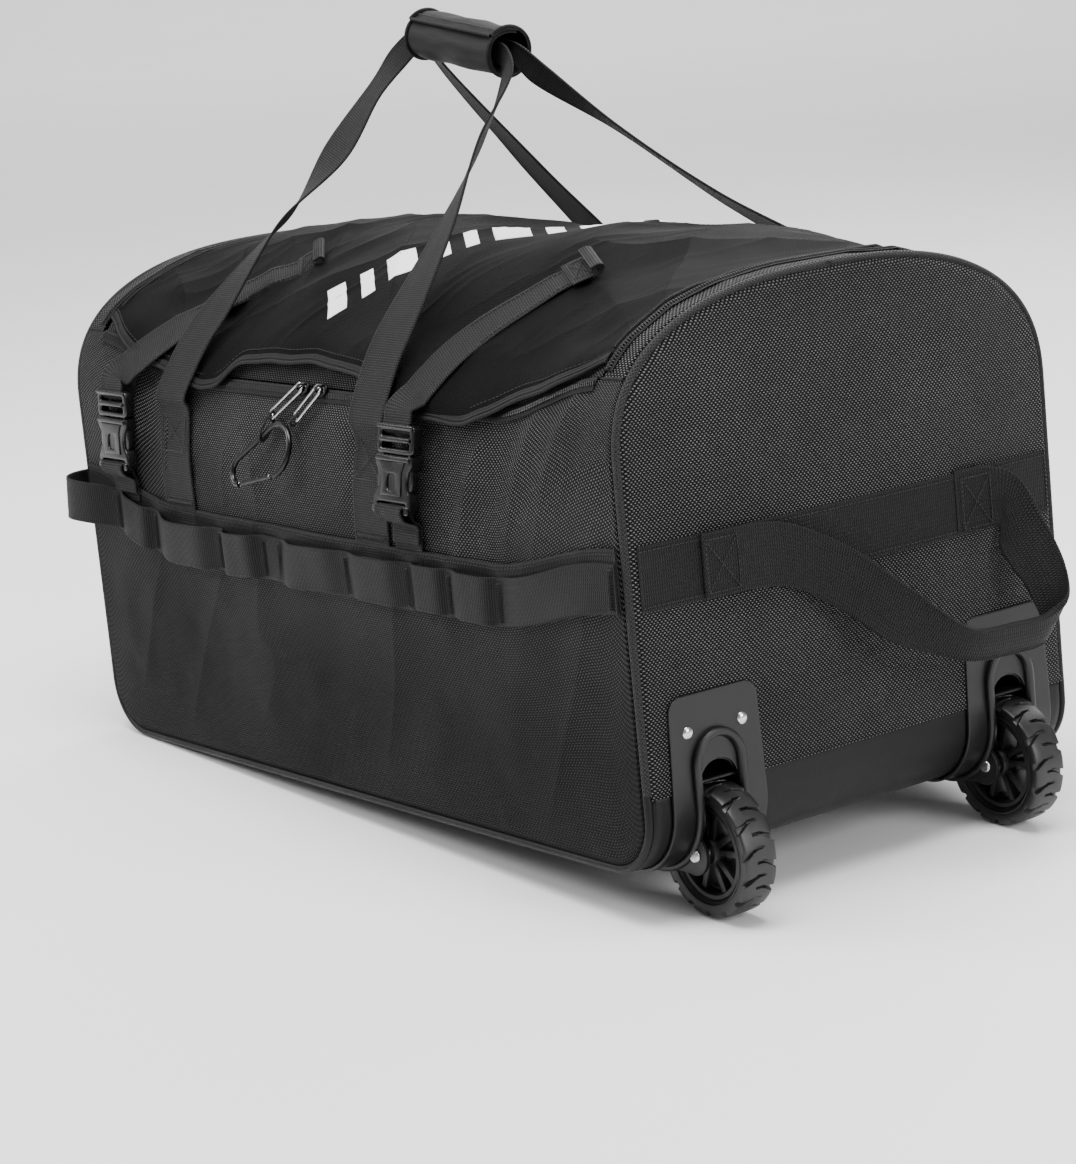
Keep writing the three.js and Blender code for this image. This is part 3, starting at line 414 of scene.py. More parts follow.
WEAVE = woven("ballistic_weave", 0.0019, 0.23, 0.5, 0.0012, 0.08, low_tone=0.22)
LID_CLOTH = woven("lid_cloth", 0.0015, 0.012, 0.5, 0.0006, 0.05, dark=0.0003, slub=0.4, warp_weft_highlight=0.9)
END_CLOTH = woven("end_weave", 0.00175, 0.22, 0.46, 0.0011, 0.09)
BASE_CLOTH = coated("base_cloth", 0.0015, 0.003, 0.42, 0.2, 0.0)
SLEEVE = coated("sleeve_cloth", 0.0035, 0.009, 0.55, 0.16, 0.02)
LINING = coated("lining", 0.006, 0.012, 0.6, 0.2, 0.05)
STRAP = webbing("strap")
SEAM_TAPE = webbing("seam_tape", 0.0018, 0.009, pitch=0.0016)
THREAD = thread_material()
BRAID = braid("braid")
HOUSING = plastic("housing_plastic", 0.003, 0.006, 0.36, specular=0.36)
HUB = plastic("hub_plastic", 0.004, 0.008, 0.42, specular=0.4)
BUCKLE = plastic("buckle_plastic", 0.003, 0.005, 0.24, 0.00005, 0.45)
RUBBER = rubber_material()
CHROME = metal("chrome", 0.62, 0.14)
GUNMETAL = metal("gunmetal", 0.035, 0.24)
PRINT = print_material()


# ---------------------------------------------------------------- mesh builders
def make(name, verts, faces, material, body, uvs=None, nodes=(), smooth_faces=True, raw=False):
    """A mesh object that rides a body and stands for CAD nodes; given two bodies it is baked in place and rides
    neither. UVs are in mm.
    """
    mesh = bpy.data.meshes.new(name)
    points = np.asarray(verts) if raw else place(verts)
    mesh.from_pydata(points.tolist(), [], [list(map(int, f)) for f in faces])
    mesh.polygons.foreach_set("use_smooth", [smooth_faces] * len(mesh.polygons))
    layer = mesh.uv_layers.new(name="UVMap")
    if uvs is not None:
        index = np.zeros(len(mesh.loops), int)
        mesh.loops.foreach_get("vertex_index", index)
        layer.data.foreach_set("uv", (np.asarray(uvs, float)[index] / 1000).ravel())
    mesh.materials.append(material)
    obj = bpy.data.objects.new(name, mesh)
    bpy.context.collection.objects.link(obj)
    if isinstance(body, str):
        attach(obj, body)
    elif body is not None:
        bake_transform(obj)
    if nodes:
        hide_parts(*nodes)
    return obj


def thicken(obj, thick):
    """Gives a sheet its thickness, in millimetres, on the inner side."""
    solid = obj.modifiers.new("thickness", "SOLIDIFY")
    solid.thickness, solid.offset = thick / 1000, -1


def split_edges(obj, degrees):
    """Keeps edges sharper than an angle crisp under smooth shading."""
    obj.modifiers.new("edges", "EDGE_SPLIT").split_angle = math.radians(degrees)


def fix_normals(obj):
    """Turns every face outwards."""
    b = bmesh.new()
    b.from_mesh(obj.data)
    bmesh.ops.recalc_face_normals(b, faces=b.faces)
    b.to_mesh(obj.data)
    b.free()


def grid_faces(nu, nv, wrap_u=False, wrap_v=False, base=0):
    """Quads between the points of an nu by nv grid."""
    rows, columns = nu - (not wrap_u), nv - (not wrap_v)
    i, j = np.meshgrid(np.arange(rows), np.arange(columns), indexing="ij")
    i2, j2 = (i + 1) % nu, (j + 1) % nv
    return (np.stack([i * nv + j, i2 * nv + j, i2 * nv + j2, i * nv + j2], -1) + base).reshape(-1, 4)


def run_lengths(points, axis):
    """Length from the start at each point along an axis of an array."""
    step = np.linalg.norm(np.diff(points, axis=axis), axis=-1)
    return np.concatenate([np.zeros_like(np.take(step, [0], axis)), np.cumsum(step, axis)], axis)


def cloth(name, points, material, body, nodes=(), thick=1.2, inside=HEART):
    """A sheet from a grid of points, thickened inwards, with its UV map in true lengths."""
    points = np.asarray(points, float)
    nu, nv = points.shape[:2]
    u = run_lengths(points, 0)[:, nv // 2]
    v = run_lengths(points, 1)[nu // 2]
    uvs = np.stack(np.broadcast_arrays(u[:, None], v[None] - v[-1] / 2), -1)
    faces = grid_faces(nu, nv)
    flat = points.reshape(-1, 3)
    q = flat[faces]
    normal = np.cross(q[:, 2] - q[:, 0], q[:, 3] - q[:, 1])
    if (normal * (q.mean(1) - np.asarray(inside, float))).sum() < 0:
        faces = faces[:, ::-1]
    obj = make(name, flat, faces, material, body, uvs.reshape(-1, 2), nodes)
    thicken(obj, thick)
    return obj


def skin(name, x, low, high, out, material, body, nodes=(), n=(120, 40), thick=1.2):
    """Cloth on the bag's surface between two girth edges, each a number or a function of x."""
    xs = close_stations(*x, n[0])[:, None]
    t = np.linspace(0, 1, n[1])[None]
    first = low(xs) if callable(low) else low
    last = high(xs) if callable(high) else high
    g = mix(first, last, t)
    at = xs + 0 * t
    lift = (out(at, g) if callable(out) else out) + relief(at, g)
    return cloth(name, girth_point(at, g, lift), material, body, nodes, thick)


def frames_along(path):
    """Unit vectors along, across and out for each point of a path."""
    path = np.asarray(path, float)
    along = unit(np.gradient(path, axis=0))
    side = np.cross(along[0], (0, 0, 1))
    if np.linalg.norm(side) < 1e-6:
        side = np.cross(along[0], (1, 0, 0))
    sides = [unit(side)]
    for t in along[1:]:
        s = sides[-1] - t * (sides[-1] @ t)
        sides.append(unit(s))
    sides = np.array(sides)
    return along, sides, np.cross(sides, along)


def sweep(name, path, across, out, section, material, body, nodes=(), caps=True, loop=False):
    """A closed section, as (across, out) pairs in millimetres, swept along a path."""
    path, across, out = (np.asarray(k, float) for k in (path, across, out))
    section = np.asarray(section, float)
    if section.ndim == 2:
        section = np.broadcast_to(section, (len(path), *section.shape))
    points = path[:, None] + across[:, None] * section[..., :1] + out[:, None] * section[..., 1:]
    n, k = points.shape[:2]
    a, b = section[0, :, 0], section[0, :, 1]
    area = np.sum(a * np.roll(b, -1) - np.roll(a, -1) * b)
    along = path[min(1, n - 1)] - path[0]
    flip = (np.cross(across[0], out[0]) @ along) * area > 0
    faces = grid_faces(n, k, wrap_u=loop, wrap_v=True)
    if not flip:
        faces = faces[:, ::-1]
    faces = [tuple(f) for f in faces]
    if caps and not loop:
        first, last = tuple(range(k)), tuple(range((n - 1) * k, n * k))
        faces += [first if not flip else first[::-1], last[::-1] if not flip else last]
    u = run_lengths(path, 0)
    uvs = np.stack(np.broadcast_arrays(u[:, None], section[..., 0]), -1)
    return make(name, points.reshape(-1, 3), faces, material, body, uvs.reshape(-1, 2), nodes)


def tube(name, path, radius, material, body, nodes=(), sides=12, loop=False, caps=True):
    """A round cord or wire along a path."""
    _, side, out = frames_along(path)
    a = np.linspace(0, 2 * np.pi, sides, endpoint=False)
    ring = np.stack([np.cos(a), np.sin(a)], -1) * radius
    obj = sweep(name, path, side, out, ring, material, body, nodes, caps, loop)
    index = np.zeros(len(obj.data.loops), int)
    obj.data.loops.foreach_get("vertex_index", index)
    u = run_lengths(np.asarray(path, float), 0)
    uv = np.stack(np.broadcast_arrays(u[:, None], (a * radius)[None]), -1).reshape(-1, 2) / 1000
    obj.data.uv_layers["UVMap"].data.foreach_set("uv", uv[index].ravel())
    return obj


def webbing_section(half, thick):
    """Flat strap with slightly fuller woven edges."""
    h, t = half, thick / 2
    half_top = [(h / 3, t), (h - 3.6, 0.86 * t), (h - 2.6, 1.12 * t), (h - 0.5, t), (h, 0.2 * t)]
    top = [(-a, b) for a, b in reversed(half_top)] + half_top
    return np.array(top + [(a, -b) for a, b in reversed(top)])


def strap(name, path, across, material, body, nodes=(), half=25.0, thick=2.0, out=None):
    """Webbing along a path. across holds its width directions, of length 1 where it lies fully open."""
    path, across = np.asarray(path, float), np.asarray(across, float)
    normal = unit(np.cross(np.gradient(path, axis=0), across))
    if out is not None and (normal * out).sum() < 0:
        normal = -normal
    return sweep(name, path, across, normal, webbing_section(half, thick), material, body, nodes)


def curve_through(points, count):
    """A centripetal Catmull-Rom curve through points of any size, evenly spaced by length."""
    p = np.asarray(points, float)
    p = np.concatenate([[2 * p[0] - p[1]], p, [2 * p[-1] - p[-2]]])
    fine = []
    for i in range(1, len(p) - 2):
        t = np.linspace(0, 1, 24, endpoint=False)[:, None]
        k = [0.0]
        for j in range(3):
            k.append(k[-1] + max(np.linalg.norm(p[i + j][:3] - p[i + j - 1][:3]), 1e-6) ** 0.5)
        s = k[1] + t * (k[2] - k[1])

        def part(a, b, ka, kb):
            return a * (kb - s) / (kb - ka) + b * (s - ka) / (kb - ka)

        a1, a2, a3 = (part(p[i + j - 1], p[i + j], k[j], k[j + 1]) for j in range(3))
        b1, b2 = part(a1, a2, k[0], k[2]), part(a2, a3, k[1], k[3])
        fine.append(part(b1, b2, k[1], k[2]))
    fine = np.concatenate([*fine, p[-2:-1]])
    run = run_lengths(fine[:, :3], 0)
    spots = np.linspace(0, run[-1], count)
    return sample(run, fine, spots)


def sample(run, values, spots):
    """The rows of values, known at lengths run, read off at other lengths."""
    return np.stack([np.interp(spots, run, column) for column in values.T], -1)


def stitches(name, path, normal, body, pitch=4.2, length=3.0, radius=0.42):
    """A line of separate thread stitches along a path."""
    lift = 0.2
    path = np.asarray(path, float)
    run = run_lengths(path, 0)
    normal = np.broadcast_to(np.asarray(normal, float), path.shape)
    starts = np.arange(0.5, run[-1] - length, pitch)
    a = np.linspace(0, 2 * np.pi, 5, endpoint=False)
    verts, faces, uvs = [], [], []
    shape = [(0, 0.0, 0.3), (0.2, 1.0, 1.0), (0.8, 1.0, 1.0), (1, 0.0, 0.3)]
    for s in starts:
        base = len(verts)
        for share, rise, size in shape:
            spot = s + share * length
            p, n = sample(run, path, spot), sample(run, normal, spot)
            q = sample(run, path, spot + 0.5) - p
            q = q / (np.linalg.norm(q) or 1)
            side = np.cross(q, n)
            r = radius * size
            for angle in a:
                verts.append(p + n * (lift * rise + math.sin(angle) * r) + side * math.cos(angle) * r)
                uvs.append((spot, angle))
        faces += [tuple(f) for f in grid_faces(4, 5, wrap_v=True, base=base)]
        faces += [tuple(range(base + 4, base - 1, -1)), tuple(range(base + 15, base + 20))]
    return make(name, np.array(verts), faces, THREAD, body, np.array(uvs))


def plate(name, outlines, depth, bevel, material, body, matrix, nodes=(), resolution=3):
    """A flat plate with holes, from closed outlines in its own XY plane, with rounded edges."""
    curve = bpy.data.curves.new(name, "CURVE")
    curve.dimensions = "2D"
    curve.fill_mode = "BOTH"
    curve.extrude = max(depth / 2 - bevel, 0.01) / 1000
    curve.bevel_depth, curve.bevel_resolution = bevel / 1000, resolution
    curve.offset = -bevel / 1000
    for points in outlines:
        spline = curve.splines.new("POLY")
        spline.points.add(len(points) - 1)
        for spot, (a, b) in zip(spline.points, points):
            spot.co = (a / 1000, b / 1000, 0, 1)
        spline.use_cyclic_u = True
    holder = bpy.data.objects.new(name, curve)
    bpy.context.collection.objects.link(holder)
    bpy.context.view_layer.update()
    mesh = bpy.data.meshes.new_from_object(holder.evaluated_get(bpy.context.evaluated_depsgraph_get()))
    bpy.data.objects.remove(holder)
    verts = np.array([v.co for v in mesh.vertices], float) * 1000
    faces = [tuple(f.vertices) for f in mesh.polygons]
    verts[:, 2] += depth / 2
    moved = verts @ matrix[:3, :3].T + matrix[:3, 3]
    obj = make(name, moved, faces, material, body, verts[:, :2], nodes)
    obj.modifiers.new("weld", "WELD").merge_threshold = 0.00002
    split_edges(obj, 35)
    return obj


def rounded(width, height, radius, cx=0.0, cy=0.0):
    """Outline of a rectangle with round corners."""
    w, h = width / 2 - radius, height / 2 - radius
    points = []
    for k, (sx, sy) in enumerate([(1, 1), (-1, 1), (-1, -1), (1, -1)]):
        for a in np.linspace(k * np.pi / 2, (k + 1) * np.pi / 2, 5):
            points.append((cx + sx * w + radius * math.cos(a), cy + sy * h + radius * math.sin(a)))
    return points


def matrix(origin, x, y, z=None):
    """A placing matrix from an origin, its X direction, and either its Y or its Z direction."""
    m = np.eye(4)
    x, y = np.asarray(x, float), np.asarray(y, float)
    x = unit(x)
    z = np.cross(x, y) if z is None else np.asarray(z, float)
    z = unit(z)
    m[:3, 0], m[:3, 1], m[:3, 2], m[:3, 3] = x, np.cross(z, x), z, origin
    return m


def lathe(name, profile, steps, material, body, placing, nodes=(), loop=True):
    """A profile of (radius, height) pairs turned about the matrix's Z axis."""
    profile = np.asarray(profile, float)
    a = np.linspace(0, 2 * np.pi, steps, endpoint=False)
    points = np.stack([np.outer(np.cos(a), profile[:, 0]), np.outer(np.sin(a), profile[:, 0]),
                       np.tile(profile[:, 1], (steps, 1))], -1)
    moved = points.reshape(-1, 3) @ placing[:3, :3].T + placing[:3, 3]
    k = len(profile)
    faces = grid_faces(steps, k, wrap_u=True, wrap_v=loop)
    run = np.concatenate([[0], np.cumsum(np.linalg.norm(np.diff(profile, axis=0), axis=1))])
    uvs = np.stack(np.broadcast_arrays((a * profile[:, 0].max())[:, None], run[None]), -1)
    obj = make(name, moved, faces, material, body, uvs.reshape(-1, 2), nodes)
    split_edges(obj, 40)
    fix_normals(obj)


# ---------------------------------------------------------------- cloth shell
FOOT_R = CORNER - PIPE_IN - 1.4
PANEL_END = HALF_LENGTH - PIPE_IN - 0.4
TUCK = 2.9


def panel_foot(x):
    """Height of the lower edge of the front and rear cloth."""
    past = np.maximum(np.abs(x) - (HALF_LENGTH - CORNER), 0)
    return CORNER - np.sqrt(np.maximum(FOOT_R**2 - past**2, 1.0))


def tuck(x, g):
    """How far a panel's edge dips to go under the piping."""
    height = (2 - np.abs(g - 4)) * cross_section(x, g < 4)[0]
    gap = np.minimum(PANEL_END - np.abs(x), height - panel_foot(x))
    return -0.2 - TUCK * (1 - smooth(0.5, 4.5, gap))


def end_tuck(x):
    """How the cloth turns in at the ends, under the piping."""
    return -0.2 - TUCK * smooth(PANEL_END - 4.5, PANEL_END - 0.5, np.abs(x))


def close_stations(first, last, count):
    """Even stations along the bag, with more of them close to the piping."""
    near = np.array([s * (PANEL_END - d) for d in (0.01, 1, 2, 3, 4, 5.5, 8) for s in (-1, 1)])
    near = near[(first <= near) & (near <= last)]
    return np.unique(np.concatenate([np.linspace(first, last, count), near]))


def build_panels():
    """The front and rear cloth, the lining across the hinge and the cloth strip at each end of the lid."""
    def wall(z, side):
        return lambda x: girth_at(x, z(x) if callable(z) else z, side)

    whole = (-PANEL_END, PANEL_END)
    skin("front_cloth", whole, wall(panel_foot, -1), ZIP_G - 0.003, tuck, WEAVE, "shell", ("front_panel",), (300, 130))
    skin("back_cloth", whole, wall(REAR_SEAM - 0.5, 1), wall(panel_foot, 1), tuck, WEAVE, "shell", ("back_panel",),
         (220, 110))
    bend = vec(0, HALF_WIDTH - 8, REAR_SEAM + 14), vec(0, HALF_WIDTH - 2, REAR_SEAM - 14)
    skin("hinge_cloth", (-LID_END, LID_END), wall(REAR_SEAM + 16, 1), wall(REAR_SEAM - 16, 1), -2.2, LINING,
         ("lid", "shell", *bend), (), (120, 24), 0.6)
    for name, side in (("wheel", 1), ("foot", -1)):
        x = sorted((side * (LID_END + 3.5), side * PANEL_END))
        skin(f"end_strip_{name}", x, ZIP_G + 0.003, wall(REAR_SEAM - 3, 1), lambda x, g: end_tuck(x), WEAVE, "shell",
             (f"top_strip_{name}_end",), (24, 160))


def build_strip_seams():
    """A taped seam where each end strip meets the front cloth."""
    for name, side in (("wheel", 1), ("foot", -1)):
        x = side * np.linspace(LID_END + 2, 400.5, 24)
        g = np.full_like(x, ZIP_G)
        tube(f"strip_seam_{name}", girth_point(x, g, relief(x, g) - 0.6), 1.5, SEAM_TAPE, "shell", sides=8)


def end_outline(foot, inset):
    """The end panel's outline over the top, from base to base."""
    low, high = girth_at(400.0, foot, -1), girth_at(400.0, foot, 1)
    return girth_point(400.0, np.linspace(low, high, 200), -inset)[:, 1:]


def build_ends():
    """The two end panels, domed outwards and rolled in at the rim."""
    outline = end_outline(BASE_WRAP + 0.5, PIPE_IN + 1.2)
    sill = np.linspace(outline[-1], outline[0], 60)[1:-1]
    sill[:, 1] = BASE_WRAP + 0.5
    ring = np.concatenate([outline, sill])
    centre = vec(0, 225)
    r = np.append(np.linspace(0.0, 0.97, 56) ** 0.8, (0.982, 0.988, 0.994, 1))[:, None, None]
    yz = centre + (ring[None] - centre) * r
    bulge = end_bulge(yz[..., 0], yz[..., 1])
    for name, side in (("wheel", 1), ("foot", -1)):
        rolled = TUCK * smooth(0.976, 1, r[..., 0]) * smooth(BASE_WRAP + 1, BASE_WRAP + 6, yz[..., 1])
        pts = np.stack([side * (HALF_LENGTH + bulge - rolled), yz[..., 0], yz[..., 1]], -1)
        n, k = pts.shape[:2]
        faces = grid_faces(n, k, wrap_v=True)
        if side < 0:
            faces = faces[:, ::-1]
        flat = pts.reshape(-1, 3)
        if side > 0:
            middle = flat[faces].mean(1)
            hidden = (np.abs(np.abs(middle[:, 1]) - WHEEL_Y) < 23) & (middle[:, 2] < 88)
            faces = faces[~hidden]
        obj = make(f"end_cloth_{name}", flat, faces, END_CLOTH, "shell", flat[:, 1:],
                   (f"{name}_end_panel",))
        thicken(obj, 1.2)


def build_base():
    """The base cloth, which wraps up at both ends, and the board inside."""
    straight = HALF_LENGTH - CORNER
    a = np.linspace(0, np.pi / 2, 18)
    arm = np.stack([straight + CORNER * np.cos(a), CORNER - CORNER * np.sin(a)], -1)
    up = np.linspace(74, CORNER, 12, endpoint=False)
    rise = np.stack([HALF_LENGTH - 2.2 * smooth(BASE_WRAP - 1, BASE_WRAP + 3, up), up], -1)
    floor = np.stack([np.linspace(straight, -straight, 120)[1:-1], np.zeros(118)], -1)
    half = np.concatenate([rise, arm])
    path = np.concatenate([half, floor, (half * (-1, 1))[::-1]])
    y_end = HALF_WIDTH - PIPE_IN - 1.2
    rim = y_end - vec(3, 1.5, 0)
    y = np.concatenate([-rim[::-1], np.linspace(4.5 - y_end, y_end - 4.5, 86), rim])
    pts = np.zeros((len(path), len(y), 3))
    pts[..., 0], pts[..., 2] = path[:, :1], path[:, 1:]
    pts[..., 1] = y
    inward = np.gradient(path, axis=0)[:, ::-1] * (-1, 1)
    inward = unit(inward)
    inward *= np.where((inward * (vec(0, 120) - path)).sum(1) < 0, -1, 1)[:, None]
    dip = TUCK * smooth(y_end - 4.5, y_end - 0.5, np.abs(y))
    pts[..., 0] += inward[:, :1] * dip
    pts[..., 2] += inward[:, 1:] * dip
    soft = 1.2 * noise(pts[..., 0] / 60, pts[..., 1] / 55, 5) * (1 - smooth(180, 206, np.abs(pts[..., 1])))
    pts[..., 2] += np.where(np.abs(pts[..., 0]) < straight, np.abs(soft), 0)
    n, k = pts.shape[:2]
    flat = pts.reshape(-1, 3)
    faces = grid_faces(n, k)
    middle = flat[faces].mean(1)
    hidden = (np.abs(np.abs(middle[:, 1]) - WHEEL_Y) < 25) & (middle[:, 0] > 341)
    run = run_lengths(pts, 0)[:, 0]
    uvs = np.stack(np.broadcast_arrays(run[:, None], y[None]), -1).reshape(-1, 2)
    obj = make("base_cloth", flat, faces[~hidden], BASE_CLOTH, "shell", uvs, ("base_panel",))
    thicken(obj, 1.6)
    plate("floor_board", [rounded(700, 386, 30)], 4, 1, LINING, "shell",
          matrix(vec(0, 0, 3.6), (1, 0, 0), (0, 1, 0)), ("base_board",))


def piping_path(side):
    """The piping of one end: over the top and down both sides, then under the base."""
    x = HALF_LENGTH - PIPE_IN
    g = 4 + side * np.linspace(-0.006, 1, 60)
    dome = girth_point(400.0, g, -PIPE_IN)
    dome[:, 0] = x
    y = side * (HALF_WIDTH - PIPE_IN)
    wall = np.stack([np.full(12, x), np.full(12, y), np.linspace(300, 55, 12)], -1)
    a = np.linspace(0, np.pi / 2, 14)
    r = CORNER - PIPE_IN
    bend = np.stack([HALF_LENGTH - CORNER + r * np.cos(a), np.full(14, y), CORNER - r * np.sin(a)], -1)
    half = np.concatenate([dome, wall, bend])
    return np.concatenate([half, (half * (-1, 1, 1))[::-1]])


def build_piping():
    """Two closed runs of piping. Each is braid above the base cloth and base cloth below."""
    for name, side in (("front", -1), ("rear", 1)):
        path = curve_through(piping_path(side), 420)
        low = path[:, 2] < BASE_WRAP
        first, last = np.argmax(low), len(path) - np.argmax(low[::-1])
        tube(f"piping_{name}_wheel_end", path[:first + 1], PIPE_R, BRAID, "shell", (f"piping_{name}",), caps=False)
        tube(f"piping_{name}_foot_end", path[last - 1:], PIPE_R, BRAID, "shell", caps=False)
        tube(f"piping_{name}_low", path[first - 1:last + 1], PIPE_R + 0.15, BASE_CLOTH, "shell", caps=False)


# ---------------------------------------------------------------- lid
# the storm flap's hem, as places along the bag and heights
HEM = ((-372, 386), (-335, 366), (-300, 352), (-250, 340), (-205, 331), (-172, 335), (-150, 353), (-100, 358),
       (0, 357), (45, 353), (70, 338), (120, 327), (200, 327), (240, 339), (277, 351), (335, 369), (372, 386))


def hem_height(x):
    """Height of the storm flap's hem along the front."""
    hx, hz = np.array(HEM, float).T
    x = np.asarray(x, float)
    spread = [np.interp(x + d, hx, hz) for d in (-9, -4, 0, 4, 9)]
    return sum(spread) / 5 + 1.6 * noise(x / 38, x * 0, 91)


def flap_out(x, g):
    """The flap stands off the zip, then the cloth comes down to the lid's own surface."""
    edge = girth_at(x, hem_height(x), -1)
    puff = 1.2 * noise(x / 45, g * 3, 17) + 1.0
    proud = mix(5.6 + puff * 0.8, 1.2, smooth(325, 368, np.abs(x)))
    return mix(proud, 0.6, smooth(0.02, 0.24, g - edge))


def build_lid():
    """The lid cloth with its storm flap, bound hem and side edges."""
    skin("lid_cloth", (-LID_END, LID_END), lambda x: girth_at(x, hem_height(x), -1),
         lambda x: girth_at(x, REAR_SEAM + 0.5, 1), flap_out, LID_CLOTH, "lid", ("lid_panel", "storm_flap"),
         (380, 230), 1.0)
    skin("zip_flange", (-LID_END + 1, LID_END - 1), ZIP_G + 0.003, 3.44, -1.2, WEAVE, "lid", (), (160, 10), 0.8)
    x = np.linspace(-LID_END + 1, LID_END - 1, 300)
    g = girth_at(x, hem_height(x), -1)
    hem = girth_point(x, g + 0.012, flap_out(x, g + 0.012) + relief(x, g) + 0.1)
    up = unit(girth_point(x, g + 0.05, flap_out(x, g + 0.05) + relief(x, g)) - hem)
    strap("flap_binding", hem, up, SEAM_TAPE, "lid", (), 4.6, 2.2, out=(0, -1, 0.3))
    line = girth_point(x, g + 0.04, flap_out(x, g + 0.04) + relief(x, g) + 0.5)
    stitches("flap_stitches", line, (0, -0.95, 0.3), "lid", 4.6, 3.2, 0.4)
    gs = np.linspace(3.42, 4.86, 200)
    for k, side in (("a", -1), ("b", 1)):
        edge, inner = (girth_point(side * (LID_END - d), gs, out + relief(side * (LID_END - d), gs))
                       for d, out in ((4, 0.8), (9, 0.7)))
        stitches(f"lid_edge_stitches_{k}", inner, unit(inner - HEART), "lid")
        tube(f"lid_edge_{k}", edge, 1.7, SEAM_TAPE, "lid", sides=8)


def top_girth(x, y):
    """Girth station of the point of the dome above y."""
    x, y = np.broadcast_arrays(np.asarray(x, float), np.asarray(y, float))
    power = cross_section(x, y < 0)[1]
    return 4 + np.sign(y) * np.arcsin(np.clip(np.abs(y) / HALF_WIDTH, 0, 1) ** (power / 2)) / (np.pi / 2)


def build_print():
    """A row of slanted bars, in place of lettering."""
    marks = []
    y = -142.0
    for width in (12, 9, 20, 12, 9, 24, 12, 20, 9, 24, 12, 9):
        marks.append((y, width))
        y += width + 10
    verts, faces, uvs = [], [], []
    for y0, width in marks:
        s, t = np.meshgrid(np.linspace(0, 1, 16), np.linspace(0, 1, 18), indexing="ij")
        py = y0 + width * s + 26 * (t - 0.5)
        px = -48 + 0.85 * (py + 142) - 62 * t
        g = top_girth(px, py)
        pts = girth_point(px, g, relief(px, g) + flap_out(px, g) + 0.22)
        faces += [tuple(f) for f in grid_faces(16, 18, base=len(verts))[:, ::-1]]
        verts += pts.reshape(-1, 3).tolist()
        uvs += np.stack([px, py], -1).reshape(-1, 2).tolist()
    obj = make("lid_print", np.array(verts), faces, PRINT, "lid", np.array(uvs))
    q = np.array([p.normal.z for p in obj.data.polygons])
    if q.mean() < 0:
        obj.data.flip_normals()
    thicken(obj, 0.18)


# ---------------------------------------------------------------- zips
def coil(name, centre, across, out, body):
    """Two rows of teeth that mesh on the centre line. A tooth is wide, long and high."""
    pitch, tooth = 2.6, (2.6, 1.5, 1.3)
    run = run_lengths(centre, 0)
    corners = np.array([(a, b, c) for a in (-1, 1) for b in (-1, 1) for c in (0, 1)], float)
    quads = ((0, 1, 3, 2), (4, 6, 7, 5), (0, 4, 5, 1), (2, 3, 7, 6), (0, 2, 6, 4), (1, 5, 7, 3))
    verts, faces = [], []
    spots = np.arange(pitch / 2, run[-1], pitch / 2)
    at, side, up = (sample(run, values, spots) for values in (centre, across, out))
    along = np.cross(up, side)
    for i in range(len(spots)):
        middle = at[i] + side[i] * (1.1 if i % 2 else -1.1)
        base = len(verts)
        for a, b, c in corners:
            narrow = 1 - 0.25 * c
            wide, long = a * tooth[0] / 2 * narrow, b * tooth[1] / 2 * narrow * 0.8
            verts.append(middle + side[i] * wide + along[i] * long + up[i] * c * tooth[2])
        faces += [tuple(base + k for k in q) for q in quads]
    return make(name, np.array(verts), faces, HUB, body, None, (), False)


def build_zips():
    """Tapes and teeth along the front and up both sides."""
    x = np.linspace(-LID_END + 2, LID_END - 2, 260)
    g = np.full_like(x, ZIP_G - 0.019)
    base = girth_point(x, g, relief(x, g) + 1.0)
    up = girth_point(x, g + 0.02, relief(x, g) + 1.0) - base
    up = unit(up)
    out = np.cross(vec(1, 0, 0), up)
    out = np.where((out[:, 1:2] > 0), -out, out)
    strap("zip_tape_front", base, up, SEAM_TAPE, "shell", ("zip_front",), 5.6, 0.8, out=(0, -1, 0.5))
    coil("zip_teeth_front", base + out * 0.4, up, out, "shell")
    for name, side in (("wheel", 1), ("foot", -1)):
        g = np.linspace(ZIP_G + 0.03, 4.72, 240)
        xs = np.full_like(g, side * (LID_END + 6.5))
        base = girth_point(xs, g, relief(xs, g) + 0.9)
        along = np.gradient(base, axis=0)
        along = unit(along)
        across = np.tile(vec(1, 0, 0), (len(g), 1))
        out = np.cross(across, along)
        out = np.where(((out * (base - vec(0, 0, 200))).sum(1) < 0)[:, None], -out, out)
        strap(f"zip_tape_{name}", base, across, SEAM_TAPE, "shell", (f"zip_{name}_side",), 5.2, 0.8, out=out)
        coil(f"zip_teeth_{name}", base + out * 0.4, across, out, "shell")


# ---------------------------------------------------------------- webbing
def on_wall(x, z, out, side=-1):
    """A point on the side of the bag at a height, some mm out from the cloth."""
    g = girth_at(x, z, side)
    return girth_point(x, g, out + relief(x, g))


def belt_path(side, x):
    """The belt's middle line along the front or the rear."""
    return on_wall(x, BELT_LOW + WEBBING / 2 + belt_sag(x), 1.5, side)


def edge_stitches(name, path, across, normal, body, half):
    """A row of stitches along each edge of a strap."""
    for k, side in ((-1, "a"), (1, "b")):
        stitches(f"{name}_{side}", path + across * (k * (half - 4)), normal, body)


# where the accessory webbing is sewn to the front belt
TACKS = (-340, -282, -172, -99, -74, 34, 124, 180, 246, 394)


